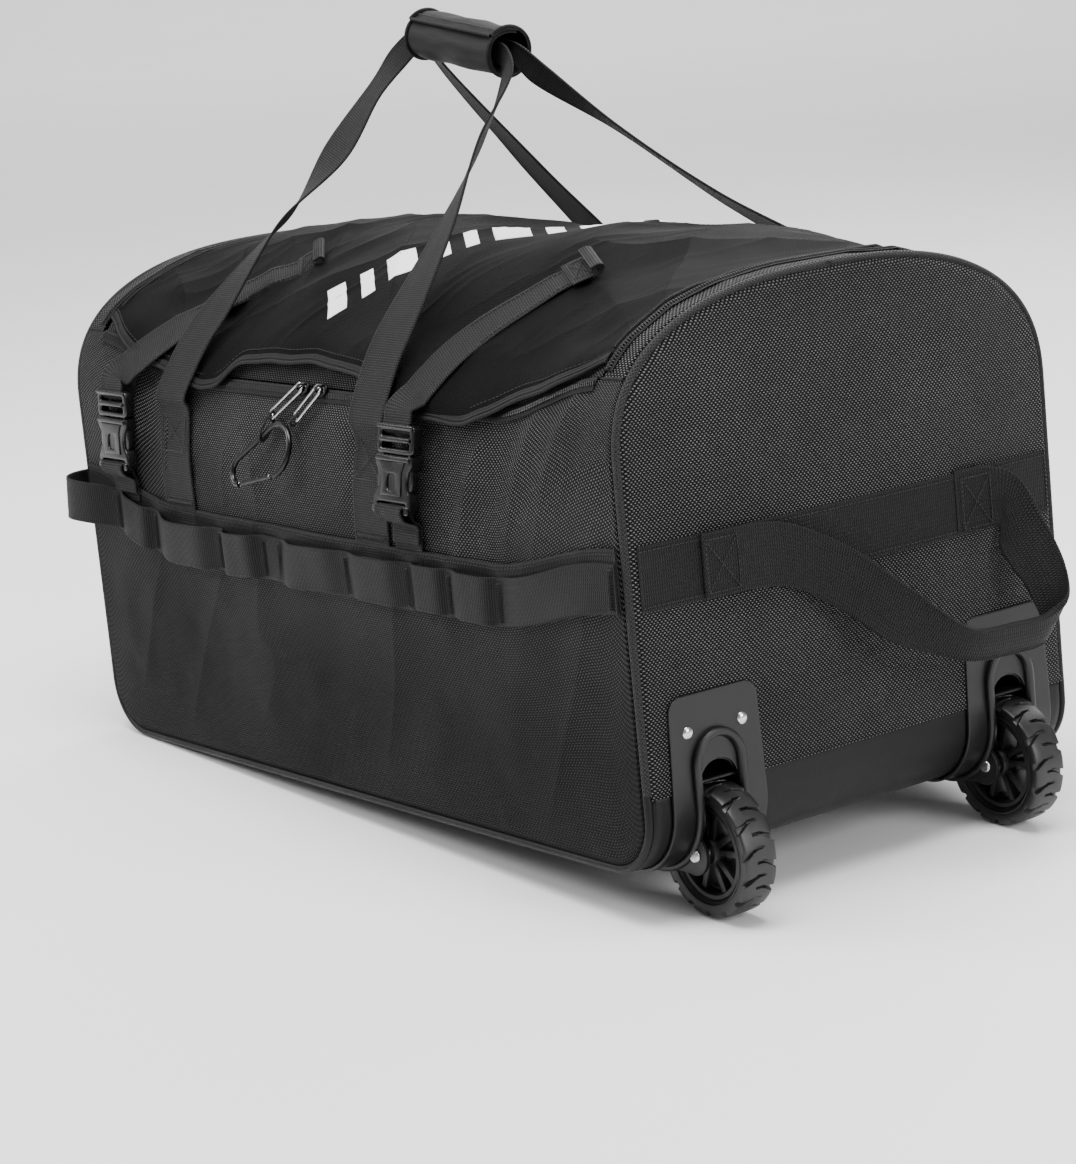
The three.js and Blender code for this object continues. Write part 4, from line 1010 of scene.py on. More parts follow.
def build_belts():
    """The belt round the bag, front, rear and ends."""
    up = vec(0, 0, 1)
    for name, side in (("front", -1), ("rear", 1)):
        x = np.linspace(-399, 399, 240)
        path = belt_path(side, x)
        across = np.tile(up, (len(x), 1))
        strap(f"belt_web_{name}", path, across, STRAP, "shell", (f"belt_{name}",), out=(0, side, 0))
        edge_stitches(f"belt_seam_{name}", path + vec(0, side * 1.2, 0), across, (0, side, 0), "shell", 25)
    for name, side in (("wheel_end", 1), ("foot_end", -1)):
        y = np.linspace(-205.5, 205.5, 120)
        z = np.full_like(y, BELT_LOW + WEBBING / 2)
        path = np.stack([side * (HALF_LENGTH + 1.5 + end_bulge(y, z)), y, z], -1)
        across = np.tile(up, (len(y), 1))
        strap(f"belt_web_{name}", path, across, STRAP, "shell", (f"belt_{name}",), out=(side, 0, 0))
        edge_stitches(f"belt_seam_{name}", path + vec(side * 1.2, 0, 0), across, (side, 0, 0), "shell", 25)


def tack_bar(name, centre, across, normal, body, width=40, rows=3):
    """A dense bar of thread across a strap."""
    centre, across, normal = (np.asarray(k, float) for k in (centre, across, normal))
    across, normal = unit(across), unit(normal)
    along = np.cross(across, normal)
    zig = []
    for i in range(int(width / 1.1)):
        spot = centre + across * (-width / 2 + i * 1.1) + along * (rows * 0.9 if i % 2 else -rows * 0.9)
        zig.append(spot + normal * 0.35)
    return tube(name, np.array(zig), 0.5, THREAD, body, sides=5)


def build_daisy():
    """The accessory webbing, tacked to the front belt with loose loops between the tacks."""
    flat = HALF_WIDTH + 3.6
    corner = [(-411.6, -150), (-411.8, -168), (-422.5, -190), (-425.5, -214), (-416, -232), (-396, -240.5),
              (-372, -237)]
    run = []
    for i, x in enumerate(TACKS):
        on = [-(flat + float(relief(v, girth_at(v, 220, -1)))) for v in (x - 5, x + 5)]
        run += [(x - 5, on[0]), (x + 5, on[1])]
        if i < len(TACKS) - 1:
            gap = TACKS[i + 1] - x
            puff = flat + 1.6 + min(4.0, gap * 0.05) * (1 - 0.6 * float(smooth(40, 200, x)))
            if gap > 40:
                run += [(x + gap * share, -puff - more) for share, more in ((0.24, 0), (0.52, 0.8), (0.78, -0.5))]
    points = np.array([(*p, 0) for p in corner + run], float)
    path = curve_through(points, 560)
    path[:, 2] = BELT_LOW + 20.5 + belt_sag(path[:, 0]) + 1.2 * noise(path[:, 0] / 50, 0, 8)
    lean = 0.10 * noise(path[:, 0] / 60, 0, 19)
    across = np.stack([lean * 0, lean, np.ones_like(lean)], -1)
    strap("daisy_web", path, across, STRAP, "shell", ("daisy_chain",), 19, 1.7, out=(0, -1, 0))
    for i, x in enumerate(TACKS):
        where = on_wall(float(x), BELT_LOW + 20.5 + float(belt_sag(x)), 4.7)
        tack_bar(f"daisy_tack_{i + 1}", where, (0, 0, 1), (0, -1, 0), "shell", 34)
    tack_bar("daisy_tack_end", (-413.4, -156, BELT_LOW + 20.5), (0, 0, 1), (-1, 0, 0), "shell", 34)


def box_stitch(name, centre, across, along, normal, body, width=40, height=40):
    """A sewn square with a cross."""
    c, a, b, n = (np.asarray(k, float) for k in (centre, across, along, normal))
    w, h = a * width / 2, b * height / 2
    corners = [c - w - h, c + w - h, c + w + h, c - w + h, c - w - h, c + w + h, c + w - h, c - w + h]
    path = []
    for p, q in zip(corners, corners[1:]):
        path += [mix(p, q, t) for t in np.linspace(0, 1, 8)]
    return stitches(name, np.array(path) + n * 0.3, n, body, 3.6, 2.7, 0.42)


GRIP = {"centre": vec(-39, 0, 606), "half": 61.0, "drop": 18 / 122}


def axis_height(x):
    """Height of the grip's axis, which slopes down towards the wheels."""
    return GRIP["centre"][2] - (x - GRIP["centre"][0]) * GRIP["drop"]


def handle_controls(side, roots, leans):
    """Stations of a carrying handle, as place and width direction, from one root over the grip to the other."""
    left, right = roots
    ends = GRIP["centre"][0] - GRIP["half"], GRIP["centre"][0] + GRIP["half"]
    lift = ((ROOT + 2.5, 9), (345, 10), (366, 11.5), (384, 13))

    def leg(x, lean, sign):
        low = BELT_LOW + WEBBING + float(belt_sag(x)) - 14
        foot = [(*on_wall(x, z, 1.6, side), sign, 0, 0) for z in np.linspace(low, ROOT - 12, 6)]
        ease = [(*girth_point(x, girth_at(x, ROOT - 3, side), 3.5), sign, 0, 0)]
        rise = []
        for i, (z, out) in enumerate(lift):
            p = girth_point(x, girth_at(x, z, side), out)
            p[0] = x + lean * i / 3
            rise.append((*p, sign, 0, 0))
        return foot + ease + rise

    a, b = leg(left, leans[0], 1), leg(right, leans[1], -1)
    left_top = vec(ends[0] - 16, side * 17, axis_height(ends[0]) - 16)
    right_top = vec(ends[1] + 16, side * 17, axis_height(ends[1]) - 20)
    pa, pb = vec(*a[-1][:3]), vec(*b[-1][:3])
    if side < 0:
        turns = ((0.26, 0, (0.72, -0.30, 0.05)), (0.40, -4, (0.62, -0.52, 0.05)),
                 (0.66, -6, (0.84, -0.16, -0.22)), (0.88, 0, (0.56, -0.24, -0.24)))
        back = ((0.25, -3, (-0.48, 0.30, -0.26)), (0.58, -6, (-0.84, 0.12, -0.24)))
    else:
        turns = ((0.5, -3, (0.92, 0.08, -0.32)),)
        back = ((0.25, -3, (-0.46, 0.30, -0.10)), (0.58, -6, (-0.66, 0.46, -0.16)))

    def between(p, q, stops):
        return [(*(mix(p, q, share) + vec(0, 0, sag)), *across) for share, sag, across in stops]

    middle = [
        *between(pa, left_top, turns),
        (*left_top, 0.4, 0, -0.28),
        (ends[0] - 2, side * 7, axis_height(ends[0]) - 3, 0.16, 0, -0.36),
        (ends[0] + 12, side * 6, axis_height(ends[0] + 12), -0.04, 0, -0.36),
        (ends[1] - 12, side * 6, axis_height(ends[1] - 12), -0.04, 0, -0.36),
        (ends[1] + 2, side * 7, axis_height(ends[1]) - 3, -0.16, 0, -0.36),
        (*right_top, -0.4, 0, -0.28),
        *between(right_top, pb, back),
    ]
    return np.array(a + middle + b[::-1], float)


def build_handles():
    """Two carrying loops with sewn roots."""
    for name, side, roots, leans in (("front", -1, FRONT_X, (22, -2)), ("rear", 1, REAR_X, (6, -8))):
        path = curve_through(handle_controls(side, roots, leans), 420)
        start, end = vec(0, side * 214, ROOT - 8), vec(0, side * 214, ROOT + 26)
        body = ("shell", f"{name}_handle", start, end)
        nodes = (f"{name}_handle_loop", f"handle_anchor_{name}_left", f"handle_anchor_{name}_right")
        strap(f"{name}_handle_web", path[:, :3], path[:, 3:], STRAP, body, nodes, 25, 2.0)
        for k, x in enumerate(roots):
            where = on_wall(x, ROOT - 24, 2.9, side)
            top = unit(on_wall(x, ROOT - 4, 2.9, side) - where)
            box_stitch(f"{name}_handle_box_{k + 1}", where, vec(1, 0, 0), top, vec(0, side, 0.2), "shell", 38, 34)
            low = on_wall(x, BELT_LOW + WEBBING + float(belt_sag(x)) + 5, 2.9, side)
            tack_bar(f"{name}_handle_tack_{k + 1}", low, (1, 0, 0), (0, side, 0), "shell", 44, 2)


def build_grip():
    """The padded wrap round both loops, with bound edges and one row of stitches."""
    along, out, side = unit(vec(1, 0, -GRIP["drop"])), unit(vec(GRIP["drop"], 0, 1)), vec(0, 1, 0)
    turn = np.radians(np.linspace(-205, 225, 74))
    stations = np.linspace(-1, 1, 46)
    sections = []
    for s in stations:
        end = abs(s) ** 6
        swell = 1 + 0.02 * math.sin(s * 7) - 0.04 * end
        radius = (20.0 + 2.6 * smooth(-205, 225, np.degrees(turn))) * swell
        radius = radius + 0.7 * noise(turn * 2.2, s * 3.0, 77)
        flat = np.stack([np.sin(turn) * radius * 1.02, -np.cos(turn) * radius * 0.95], -1)
        thick = 2.6 - 0.9 * end
        inner = flat * ((radius - thick) / radius)[:, None]
        sections.append(np.concatenate([flat, inner[::-1]]))
    path = GRIP["centre"] + along * (stations[:, None] * GRIP["half"])
    wrap = sweep("grip_sleeve", path, np.tile(side, (46, 1)), np.tile(out, (46, 1)), np.array(sections),
                 SLEEVE, "front_handle", ("grip_wrap",))

    def around(degrees, wide, high):
        """Points round the grip's axis at given reaches to the side and outwards."""
        a = np.radians(degrees)
        return GRIP["centre"] + np.multiply.outer(np.sin(a) * wide, side) - np.multiply.outer(np.cos(a) * high, out)

    degrees = np.linspace(-205, 225, 90)
    radius = 20.4 + 2.4 * smooth(-205, 225, degrees)
    for k, name in ((-1, "a"), (1, "b")):
        ring = around(degrees, radius * 1.02, radius * 0.95) + along * k * (GRIP["half"] - 1.5)
        tube(f"grip_binding_{name}", ring, 1.7, SEAM_TAPE, "front_handle", sides=8)
    line = around(225, 22.8 * 1.02, 22.6 * 0.95) + along * np.linspace(-58, 58, 60)[:, None]
    tube("grip_flap_binding", line, 1.7, SEAM_TAPE, "front_handle", sides=8)
    row = around(207, 23.3, 21.6) + along * np.linspace(-56, 56, 60)[:, None]
    stitches("grip_stitches", row, around(207, 1, 1) - GRIP["centre"], "front_handle", 4.4, 3.0, 0.42)


def build_lid_straps():
    """The slanting straps on the lid, from the buckle plugs' ladder bars to sewn tabs."""
    for name, slant in (("left", 232), ("right", 178)):
        x0 = BUCKLE_X[name]
        low = float(girth_at(x0, 336.0, -1))
        g = np.linspace(low, 3.76, 90)
        x = x0 + slant * (g - low)
        path = girth_point(x, g, 1.7 + np.maximum(flap_out(x, g), 6.4 * (1 - smooth(low, low + 0.12, g)))
                           + relief(x, g) * smooth(low, low + 0.1, g))
        origin, ux, uy, uz = buckle_axes(name)
        foot = [origin + vec(x0, 0, 0) + uy * h + uz * o
                for h, o in ((63.5, 6.0), (67.5, 9.2), (73.5, 8.4), (83.5, 7.2))]
        full = curve_through(np.concatenate([foot, path[6:]]), 150)
        along = np.gradient(full, axis=0)
        normal = full - HEART
        normal[:, 0] = 0
        normal[:4] = uz
        across = unit(np.cross(normal, along))
        turned = smooth(2, 30, np.arange(len(full)))[:, None]
        across = unit(mix(ux * np.sign(across[:, :1]), across, turned))
        start, end = full[26], full[4]
        strap(f"lid_web_{name}", full, across, STRAP, ("lid", f"buckle_{name}", start, end),
              (f"lid_strap_{name}",), 19, 1.7, out=normal)
        top = full[-6]
        n, t = unit(normal[-6]), unit(along[-6])
        a = across[-6]
        fold = [top + t * d + n * h for d, h in
                ((-13, 1.6), (-6, 2.0), (6, 2.2), (12, 3.2), (15, 6.5), (12, 9.0), (5, 8.4))]
        strap(f"strap_tab_{name}", curve_through(fold, 40), np.tile(a, (40, 1)), STRAP, "lid",
              (f"strap_keeper_{name}",), 26, 1.5, out=n)
        box_stitch(f"strap_box_{name}", top - t * 2 + n * 3.0, a, t, n, "lid", 36, 15)
        middle = full[len(full) // 2:-12]
        mid_n = unit(normal[len(full) // 2:-12])
        edge_stitches(f"strap_seam_{name}", middle + mid_n, across[len(full) // 2:-12], mid_n, "lid", 19)


# ---------------------------------------------------------------- buckles
# lean in degrees and distance to the front of each buckle, and the height of its foot
LEAN = {"left": (4.0, -219.6), "right": (10.5, -221.0)}
BUCKLE_FOOT = 256.0


def buckle_axes(name):
    """A buckle's foot and its directions across, up and out."""
    lean, y = LEAN[name]
    a = math.radians(lean)
    return vec(0, y, BUCKLE_FOOT), vec(1, 0, 0), vec(0, math.sin(a), math.cos(a)), vec(0, -math.cos(a), math.sin(a))


def buckle_plate(piece, name, outlines, depth, z, bevel, body, nodes=()):
    """A plate in a buckle's own plane, z mm out from the cloth."""
    origin, ux, uy, uz = buckle_axes(name)
    base = origin + vec(BUCKLE_X[name], 0, 0) + uz * z
    return plate(f"{piece}_{name}", outlines, depth, bevel, BUCKLE, body, matrix(base, ux, uy, uz), nodes)


def build_buckle(name):
    """A side-release buckle: socket on the lower web, plug with ladder bars and prongs."""
    left = [(-21, 0.5), (-25, 4), (-25.5, 12), (-22.5, 17), (-19.5, 21), (-19, 27), (-20.5, 33), (-24.5, 38),
            (-25.5, 42), (-24, 46)]
    female = [*left, *[(-a, b) for a, b in reversed(left)]]
    web_slot = rounded(40, 4.6, 1.5, 0, 6.2)
    buckle_plate("buckle_socket", name, [female, web_slot], 11, 0, 1.6, "shell", (f"buckle_female_{name}",))
    face = [(-14, 14), (-13, 33), (-17, 41), (17, 41), (13, 33), (14, 14)]
    buckle_plate("buckle_face", name, [face, rounded(12, 14, 4, 0, 25)], 1.8, 10.4, 0.6, "shell")
    buckle_plate("buckle_bar", name, [rounded(50, 7, 2, 0, 3.4)], 3, 9.2, 1.0, "shell")
    buckle_plate("buckle_lip", name, [rounded(47, 4, 1.6, 0, 43.4)], 2.6, 10.0, 0.9, "shell")
    body = f"buckle_{name}"
    base = rounded(51, 24, 5, 0, 58.6)
    slots = [rounded(40, 4.6, 1.5, 0, 53.6), rounded(40, 4.6, 1.5, 0, 63.4)]
    buckle_plate("buckle_ladder", name, [base, *slots], 9, 1, 1.5, body, (f"buckle_male_{name}",))
    buckle_plate("buckle_ladder_bar", name, [rounded(42, 3.6, 1.4, 0, 58.5)], 3, 8.8, 1.0, body)
    buckle_plate("buckle_ladder_grip", name, [rounded(50, 3.2, 1.4, 0, 68.6)], 2.4, 9.4, 0.9, body)
    prong = [(17, 47), (14.5, 30), (15.5, 17.5), (19.5, 16), (23.6, 20), (25.0, 27), (23.8, 34), (20.5, 40),
             (20.5, 47)]
    for k, sign in (("a", -1), ("b", 1)):
        buckle_plate(f"buckle_prong_{k}", name, [[(sign * a, b) for a, b in prong]], 6.4, 2.3, 1.2, body)
    origin, ux, uy, uz = buckle_axes(name)
    x0 = BUCKLE_X[name]
    low = BELT_LOW + WEBBING + float(belt_sag(x0)) - 16
    wall = [on_wall(x0, z, 1.5) for z in np.linspace(low, 246, 5)]
    hook = [origin + vec(x0, 0, 0) + uy * h + uz * o for h, o in
            ((-4, 1.0), (1.0, 1.6), (5.6, 4.6), (6.6, 9.2), (4.6, 13.6), (0, 13.4), (-5, 9.0))]
    back = [on_wall(x0, z, 4.2) for z in (246, 238, max(low + 8, 231))]
    path = curve_through(np.array([*wall, *hook, *back]), 120)
    across = np.tile(ux, (len(path), 1))
    strap(f"buckle_strap_{name}", path, across, STRAP, "shell", (f"buckle_web_{name}",), 18.6, 1.5)


# ---------------------------------------------------------------- wheels and housings
def wheel_matrix(side):
    """The wheel's own frame: its axle along Z."""
    return matrix(vec(WHEEL_X, side * WHEEL_Y, WHEEL_Z), (1, 0, 0), (0, 0, 1), (0, -1, 0))


def build_tyre(name, side):
    """A tyre with a rounded crown, slanted grooves and raised rings on its sides."""
    body = f"wheel_{name}"
    m = wheel_matrix(side)
    steps = 900
    half, inner, rim = 15.0, 37.1, WHEEL_R - 3.2
    wall = rim - 4
    profile = [(inner, -10.5), (inner + 1.5, -12.5), (wall - 2.4, -14.0), (wall, -14.6)]
    a = np.radians(np.linspace(-90, 90, 34))[1:-1]
    reach = wall + (rim - wall) * np.cos(a) ** 0.35
    height = half * np.copysign(np.abs(np.sin(a)) ** 0.62, a)
    profile = np.array(profile + list(zip(reach, height)) + [(r, -h) for r, h in reversed(profile)], float)
    turn = np.linspace(0, 2 * np.pi, steps, endpoint=False)[:, None]
    r, h = profile[:, 0][None], profile[:, 1][None]
    s = h / half
    lugs = 15

    def groove(shift, reach):
        phase = turn * lugs / (2 * np.pi) + shift + 0.30 * np.abs(s)
        width = 0.045 + 0.085 * smooth(0.35, 1.0, np.abs(s))
        return (1 - smooth(width, width + 0.016, np.abs((phase % 1) - 0.5))) * reach

    cut = np.maximum(groove(0.0, smooth(-0.22, -0.10, s)), groove(0.5, 1 - smooth(0.10, 0.22, s)))
    block = (1 - cut) * smooth(wall - 1.7, wall, r)
    lift = 3.2 * block
    radial = smooth(wall - 2.5, wall + 2.5, r)
    rr = np.minimum(r + lift * radial, WHEEL_R)
    hh = np.clip(h + np.sign(h) * lift * 0.35 * (1 - radial), -half, half)
    pts = np.stack([rr * np.cos(turn), rr * np.sin(turn), hh + 0 * turn], -1)
    flat = pts.reshape(-1, 3) @ m[:3, :3].T + m[:3, 3]
    faces = grid_faces(steps, profile.shape[0], wrap_u=True, wrap_v=True)
    obj = make(f"tyre_tread_{name}", flat, faces, RUBBER, body, None, (f"tyre_{name}",))
    fix_normals(obj)
    split_edges(obj, 32)
    for k, part in ((-1, "a"), (1, "b")):
        ring = [(r, k * h) for r, h in ((39.7, 13.2), (40.5, 14.5), (41.3, 14.4), (41.7, 13.2))]
        lathe(f"tyre_ring_{name}_{part}", ring, 96, RUBBER, body, m)


def build_hub(name, side):
    """A hub with five pairs of spokes on a pierced web, its bushing and its axle."""
    body = f"wheel_{name}"
    m = wheel_matrix(side)
    rim = [(32.9, -10), (33.6, -11), (36.7, -11), (36.9, -10), (36.9, 10), (36.7, 11), (33.6, 11), (32.9, 10),
           (32.0, 4), (32.0, -4)]
    lathe(f"hub_rim_{name}", rim, 96, HUB, body, m, (f"hub_{name}",))
    boss = [(6.3, -11.5), (9.6, -11.5), (10.6, -10.5), (11.6, 0), (10.6, 10.5), (9.6, 11.5), (6.3, 11.5)]
    lathe(f"hub_boss_{name}", boss, 48, HUB, body, m)
    for i in range(5):
        a = i * 2 * np.pi / 5 + 0.31
        for j, tilt in enumerate((-0.21, 0.21)):
            root = vec(10.4 * math.cos(a + tilt * 1.3), 10.4 * math.sin(a + tilt * 1.3))
            tip = vec(33.2 * math.cos(a + tilt * 1.15), 33.2 * math.sin(a + tilt * 1.15))
            d = tip - root
            n = vec(-d[1], d[0]) / np.linalg.norm(d)
            outline = [root - n * 2.2, tip - n * 2.9, tip + n * 2.9, root + n * 2.2]
            local = m.copy()
            local[:3, 3] = m[:3, 3] + m[:3, 2] * -8
            plate(f"hub_spoke_{name}_{i + 1}{'ab'[j]}", [[tuple(p) for p in outline]], 16, 0.8, HUB, body, local,
                  resolution=1)
    web = m.copy()
    web[:3, 3] = m[:3, 3] + m[:3, 2] * -2
    holes = []
    for i in range(5):
        for centre, spread in ((0.31, 0.10), (0.31 + np.pi / 5, 0.30)):
            a = i * 2 * np.pi / 5 + centre
            t = np.linspace(-spread, spread, 8)
            holes.append([(30 * math.cos(a + k), 30 * math.sin(a + k)) for k in t]
                         + [(14 * math.cos(a + k), 14 * math.sin(a + k)) for k in t[::-1]])
    ring = [(33 * math.cos(k), 33 * math.sin(k)) for k in np.linspace(0, 2 * np.pi, 64, endpoint=False)]
    plate(f"hub_web_{name}", [ring, *holes], 4, 0.6, HUB, body, web, resolution=1)
    lathe(f"hub_sleeve_{name}", [(3.2, -12), (5.8, -12), (5.8, 12), (3.2, 12)], 32, CHROME, body, m,
          (f"bushing_{name}",))
    pin = [(0.01, -24.6), (4.6, -24.6), (5.4, -23.6), (5.4, -22.5), (3, -22.3)]
    lathe(f"axle_pin_{name}", pin + [(r, -h) for r, h in reversed(pin)], 32, CHROME, "shell", m, (f"axle_{name}",))


def housing_profile():
    """Points and outward directions down the end, round the corner and under the bag."""
    r = CORNER + 0.5
    cx = HALF_LENGTH - CORNER
    down = [((HALF_LENGTH + 0.5, z), (1, 0), z) for z in np.linspace(136, CORNER, 50)]
    a = np.linspace(0, np.pi / 2, 30)[1:]
    bend = [((cx + r * math.cos(k), CORNER - r * math.sin(k)), (math.cos(k), -math.sin(k)), CORNER - r * k)
            for k in a]
    under = [((x, -0.5), (0, -1), CORNER - r * np.pi / 2 - (cx - x)) for x in np.linspace(cx, 336, 10)[1:]]
    return down + bend + under


def build_housing(name, side):
    """A wheel housing: wrapped plate, arched lip, pocket, cheeks and rivets."""
    rows = housing_profile()
    y0 = side * WHEEL_Y
    verts, faces = [], []
    k = 18
    for hand in (-1, 1):
        base = len(verts)
        for (x, z), (nx, nz), s in rows:
            inner = 0.0 if s > 83 else math.sqrt(max(18.0**2 - max(s - 65, 0) ** 2, 0)) if s > 65 else 18.0
            outer = 46.5 - 4.5 * max(s, 0) / 136
            if s > 125:
                outer -= 11 - math.sqrt(max(121 - (s - 125) ** 2, 0))
            for t in np.linspace(0, 1, k):
                verts.append((x + nx * 2.9, y0 + hand * mix(inner, outer, t), z + nz * 2.9))
        grid = grid_faces(len(rows), k, base=base)
        faces += [tuple(f) for f in (grid if hand < 0 else grid[:, ::-1])]
    uv = [(v[1], v[2]) for v in verts]
    obj = make(f"housing_plate_{name}", np.array(verts), faces, HOUSING, "shell", np.array(uv),
               (f"wheel_housing_{name}",))
    fix_normals(obj)
    middle = obj.data.polygons[10]
    if (TURN.T @ np.array(middle.normal))[0] < 0:
        obj.data.flip_normals()
    obj.modifiers.new("weld", "WELD").merge_threshold = 0.0001
    thicken(obj, 2.8)
    bevel = obj.modifiers.new("bevel", "BEVEL")
    bevel.width, bevel.segments = 0.0008, 2
    bevel.limit_method, bevel.angle_limit = "ANGLE", math.radians(50)
    leg = [(p, n) for p, n, height in rows if -34 < height < 78]
    arch = np.linspace(np.pi, 0, 26)
    spots = [(x, y0 - 21.5, z) for (x, z), _ in leg[::-1]]
    spots += [(HALF_LENGTH + 0.5, y0 + 21.5 * math.cos(t), 79 + 24.5 * math.sin(t)) for t in arch]
    spots += [(x, y0 + 21.5, z) for (x, z), _ in leg]
    normals = [(a, 0, b) for _, (a, b) in leg[::-1]] + [(1, 0, 0)] * 26 + [(a, 0, b) for _, (a, b) in leg]
    spots, normals = np.array(spots, float), np.array(normals, float)
    across = unit(np.cross(np.gradient(spots, axis=0), normals))
    rim = [(-3.5, 2.0), (-3.6, 6.6), (-2.8, 7.5), (-1.0, 7.9), (1.4, 7.7), (2.6, 6.8), (3.5, 4.4), (4.2, 2.0)]
    sweep(f"housing_lip_{name}", spots, across, normals, rim, HOUSING, "shell")
    back = curve_through(np.array([(HALF_LENGTH + 1, 0, 83), (392, 0, 82.6), (383, 0, 80), (380.5, 0, 72),
                                   (380.5, 0, 62)], float), 20)
    t = np.linspace(-1, 1, 10)
    roof = np.stack([np.broadcast_to(back[:, :1], (20, 10)), np.broadcast_to(y0 + 18 * t, (20, 10)),
                     back[:, 2:] - 14 * (1 - np.sqrt(1 - 0.98 * t**2))[None] * smooth(378, 396, back[:, :1])], -1)
    cloth(f"housing_roof_{name}", roof, HOUSING, "shell", (), 1.5, (WHEEL_X, y0, -400))
    wrap = np.radians(np.linspace(-12, 205, 60))
    y = np.linspace(-18, 18, 8)
    well = np.stack(np.broadcast_arrays(WHEEL_X + 55.4 * np.cos(wrap)[:, None], y0 + y,
                                        WHEEL_Z + 55.4 * np.sin(wrap)[:, None]), -1)
    keep = (well[:, 0, 0] < HALF_LENGTH + 2) & (well[:, 0, 2] > -1)
    cloth(f"housing_well_{name}", well[keep], HOUSING, "shell", (), 2.0, (WHEEL_X, y0, WHEEL_Z + 400))
    cheek = [(408, 24), (408, 88), (344, 88), (342, 0), (362, -5)]
    cheek += [(WHEEL_X - 4 + 16.5 * math.cos(t), WHEEL_Z + 16.5 * math.sin(t)) for t in np.linspace(-1.9, 0.4, 16)]
    for j, y in (("a", -22), ("b", 18.3)):
        m = matrix(vec(0, y0 + y, 0), (1, 0, 0), (0, 0, 1), (0, 1, 0))
        m[:3, 1] = (0, 0, 1)
        obj = plate(f"housing_cheek_{name}_{j}", [cheek], 3.6, 0.5, HOUSING, "shell", m, resolution=1)
        fix_normals(obj)
    for i, s in enumerate((-1, 1)):
        m = matrix(vec(HALF_LENGTH + 3.3, y0 + s * 26, 108), (0, 1, 0), (0, 0, 1), (1, 0, 0))
        dome = [(0.02, 2.4), (1.6, 2.3), (3.2, 1.9), (4.3, 1.3), (4.9, 0.7), (5.0, 0.2), (4.6, 0.0), (0.02, 0.0)]
        lathe(f"rivet_head_{name}_{i + 1}", dome, 32, CHROME, "shell", m, (f"rivet_{name}_{i + 1}",), loop=False)


# ---------------------------------------------------------------- haul handle
def build_haul():
    """The haul handle, a loop of webbing folded double where the hand holds it."""
    x = HALF_LENGTH + 4.4
    mid = BELT_LOW + WEBBING / 2
    # place, width direction, half width and thickness of the webbing, from the near root over the grip to the far one
    rows = [
        (x + 3.2, -150, mid, 0, 0, 1, 25, 2), (x + 4.8, -128, mid, 0, 0, 1, 25, 2),
        (x + 5.6, -108, mid, 0, 0, 1, 25, 2), (x + 7.5, -73, mid - 5, 0, 0, 1, 25, 2),
        (430, -28, 198, 0.09, 0.26, 0.95, 24, 2), (448, 8, 165, 0.19, 0.43, 0.88, 22, 2.4),
        (461, 40, 142, 0.4, 0.4, 0.82, 16, 4), (467, 64, 131, 0.3, 0.15, 0.92, 13, 5.6),
        (469, 104, 128, 0.3, 0.0, 0.95, 13, 6), (468.5, 140, 129, 0.35, 0.1, 0.92, 13, 5.6),
        (465, 154, 138, 0.5, 0.35, 0.7, 15, 4), (451, 159, 165, 0.46, 0.62, 0.45, 18, 2.6),
        (431, 155, 198, 0.38, 0.62, 0.6, 22, 2), (x + 8, 152, 222, 0.1, 0.3, 0.92, 24, 2),
        (x + 5.6, 142, mid, 0, -0.12, 0.99, 25, 2), (x + 4.6, 120, mid + 2, 0, 0, 1, 25, 2),
        (x + 4.0, 102, mid + 2, 0, 0, 1, 25, 2),
    ]
    path = curve_through(np.array(rows, float), 220)
    across = unit(path[:, 3:6])
    normal = unit(np.cross(np.gradient(path[:, :3], axis=0), across))
    if normal[110, 0] < 0:
        normal = -normal
    open_section = webbing_section(25, 2)
    sections = []
    for half, thick in path[:, 6:8]:
        fold = smooth(2.5, 5.5, thick)
        section = open_section * (half / 25, thick / 2)
        section[:, 1] -= fold * 0.010 * section[:, 0] ** 2
        sections.append(section)
    sweep("haul_web", path[:, :3], across, normal, np.array(sections), STRAP,
          ("shell", "haul", vec(HALF_LENGTH + 8.5, 0, 247), vec(HALF_LENGTH + 24, 0, 218)), ("haul_handle",))
    for k, y in ((1, -134), (2, 122)):
        bulge = float(end_bulge(vec(y), vec(mid))[0])
        box_stitch(f"haul_box_{k}", vec(HALF_LENGTH + 6.6 + bulge, y, mid), vec(0, 1, 0), vec(0, 0, 1), vec(1, 0, 0),
                   "shell", 30, 40)


# ---------------------------------------------------------------- sliders, pulls, cords and carabiner
def from_row(point):
    """Row frame in metres to bag frame in millimetres."""
    return TURN.T @ (np.asarray(point, float) - SHIFT) * 1000


def pull_axes(name):
    """A zip pull's hinge point, its direction, its bar and the direction out."""
    joint = JOINTS[f"zip_pull_{name}_lift"]
    origin = from_row(joint["pos_m"])
    bar = TURN.T @ np.asarray(joint["axis"], float)
    a = math.radians(20.4)
    n = vec(0, -math.cos(a), math.sin(a))
    d = np.cross(n, bar)
    return origin, unit(d), bar, n


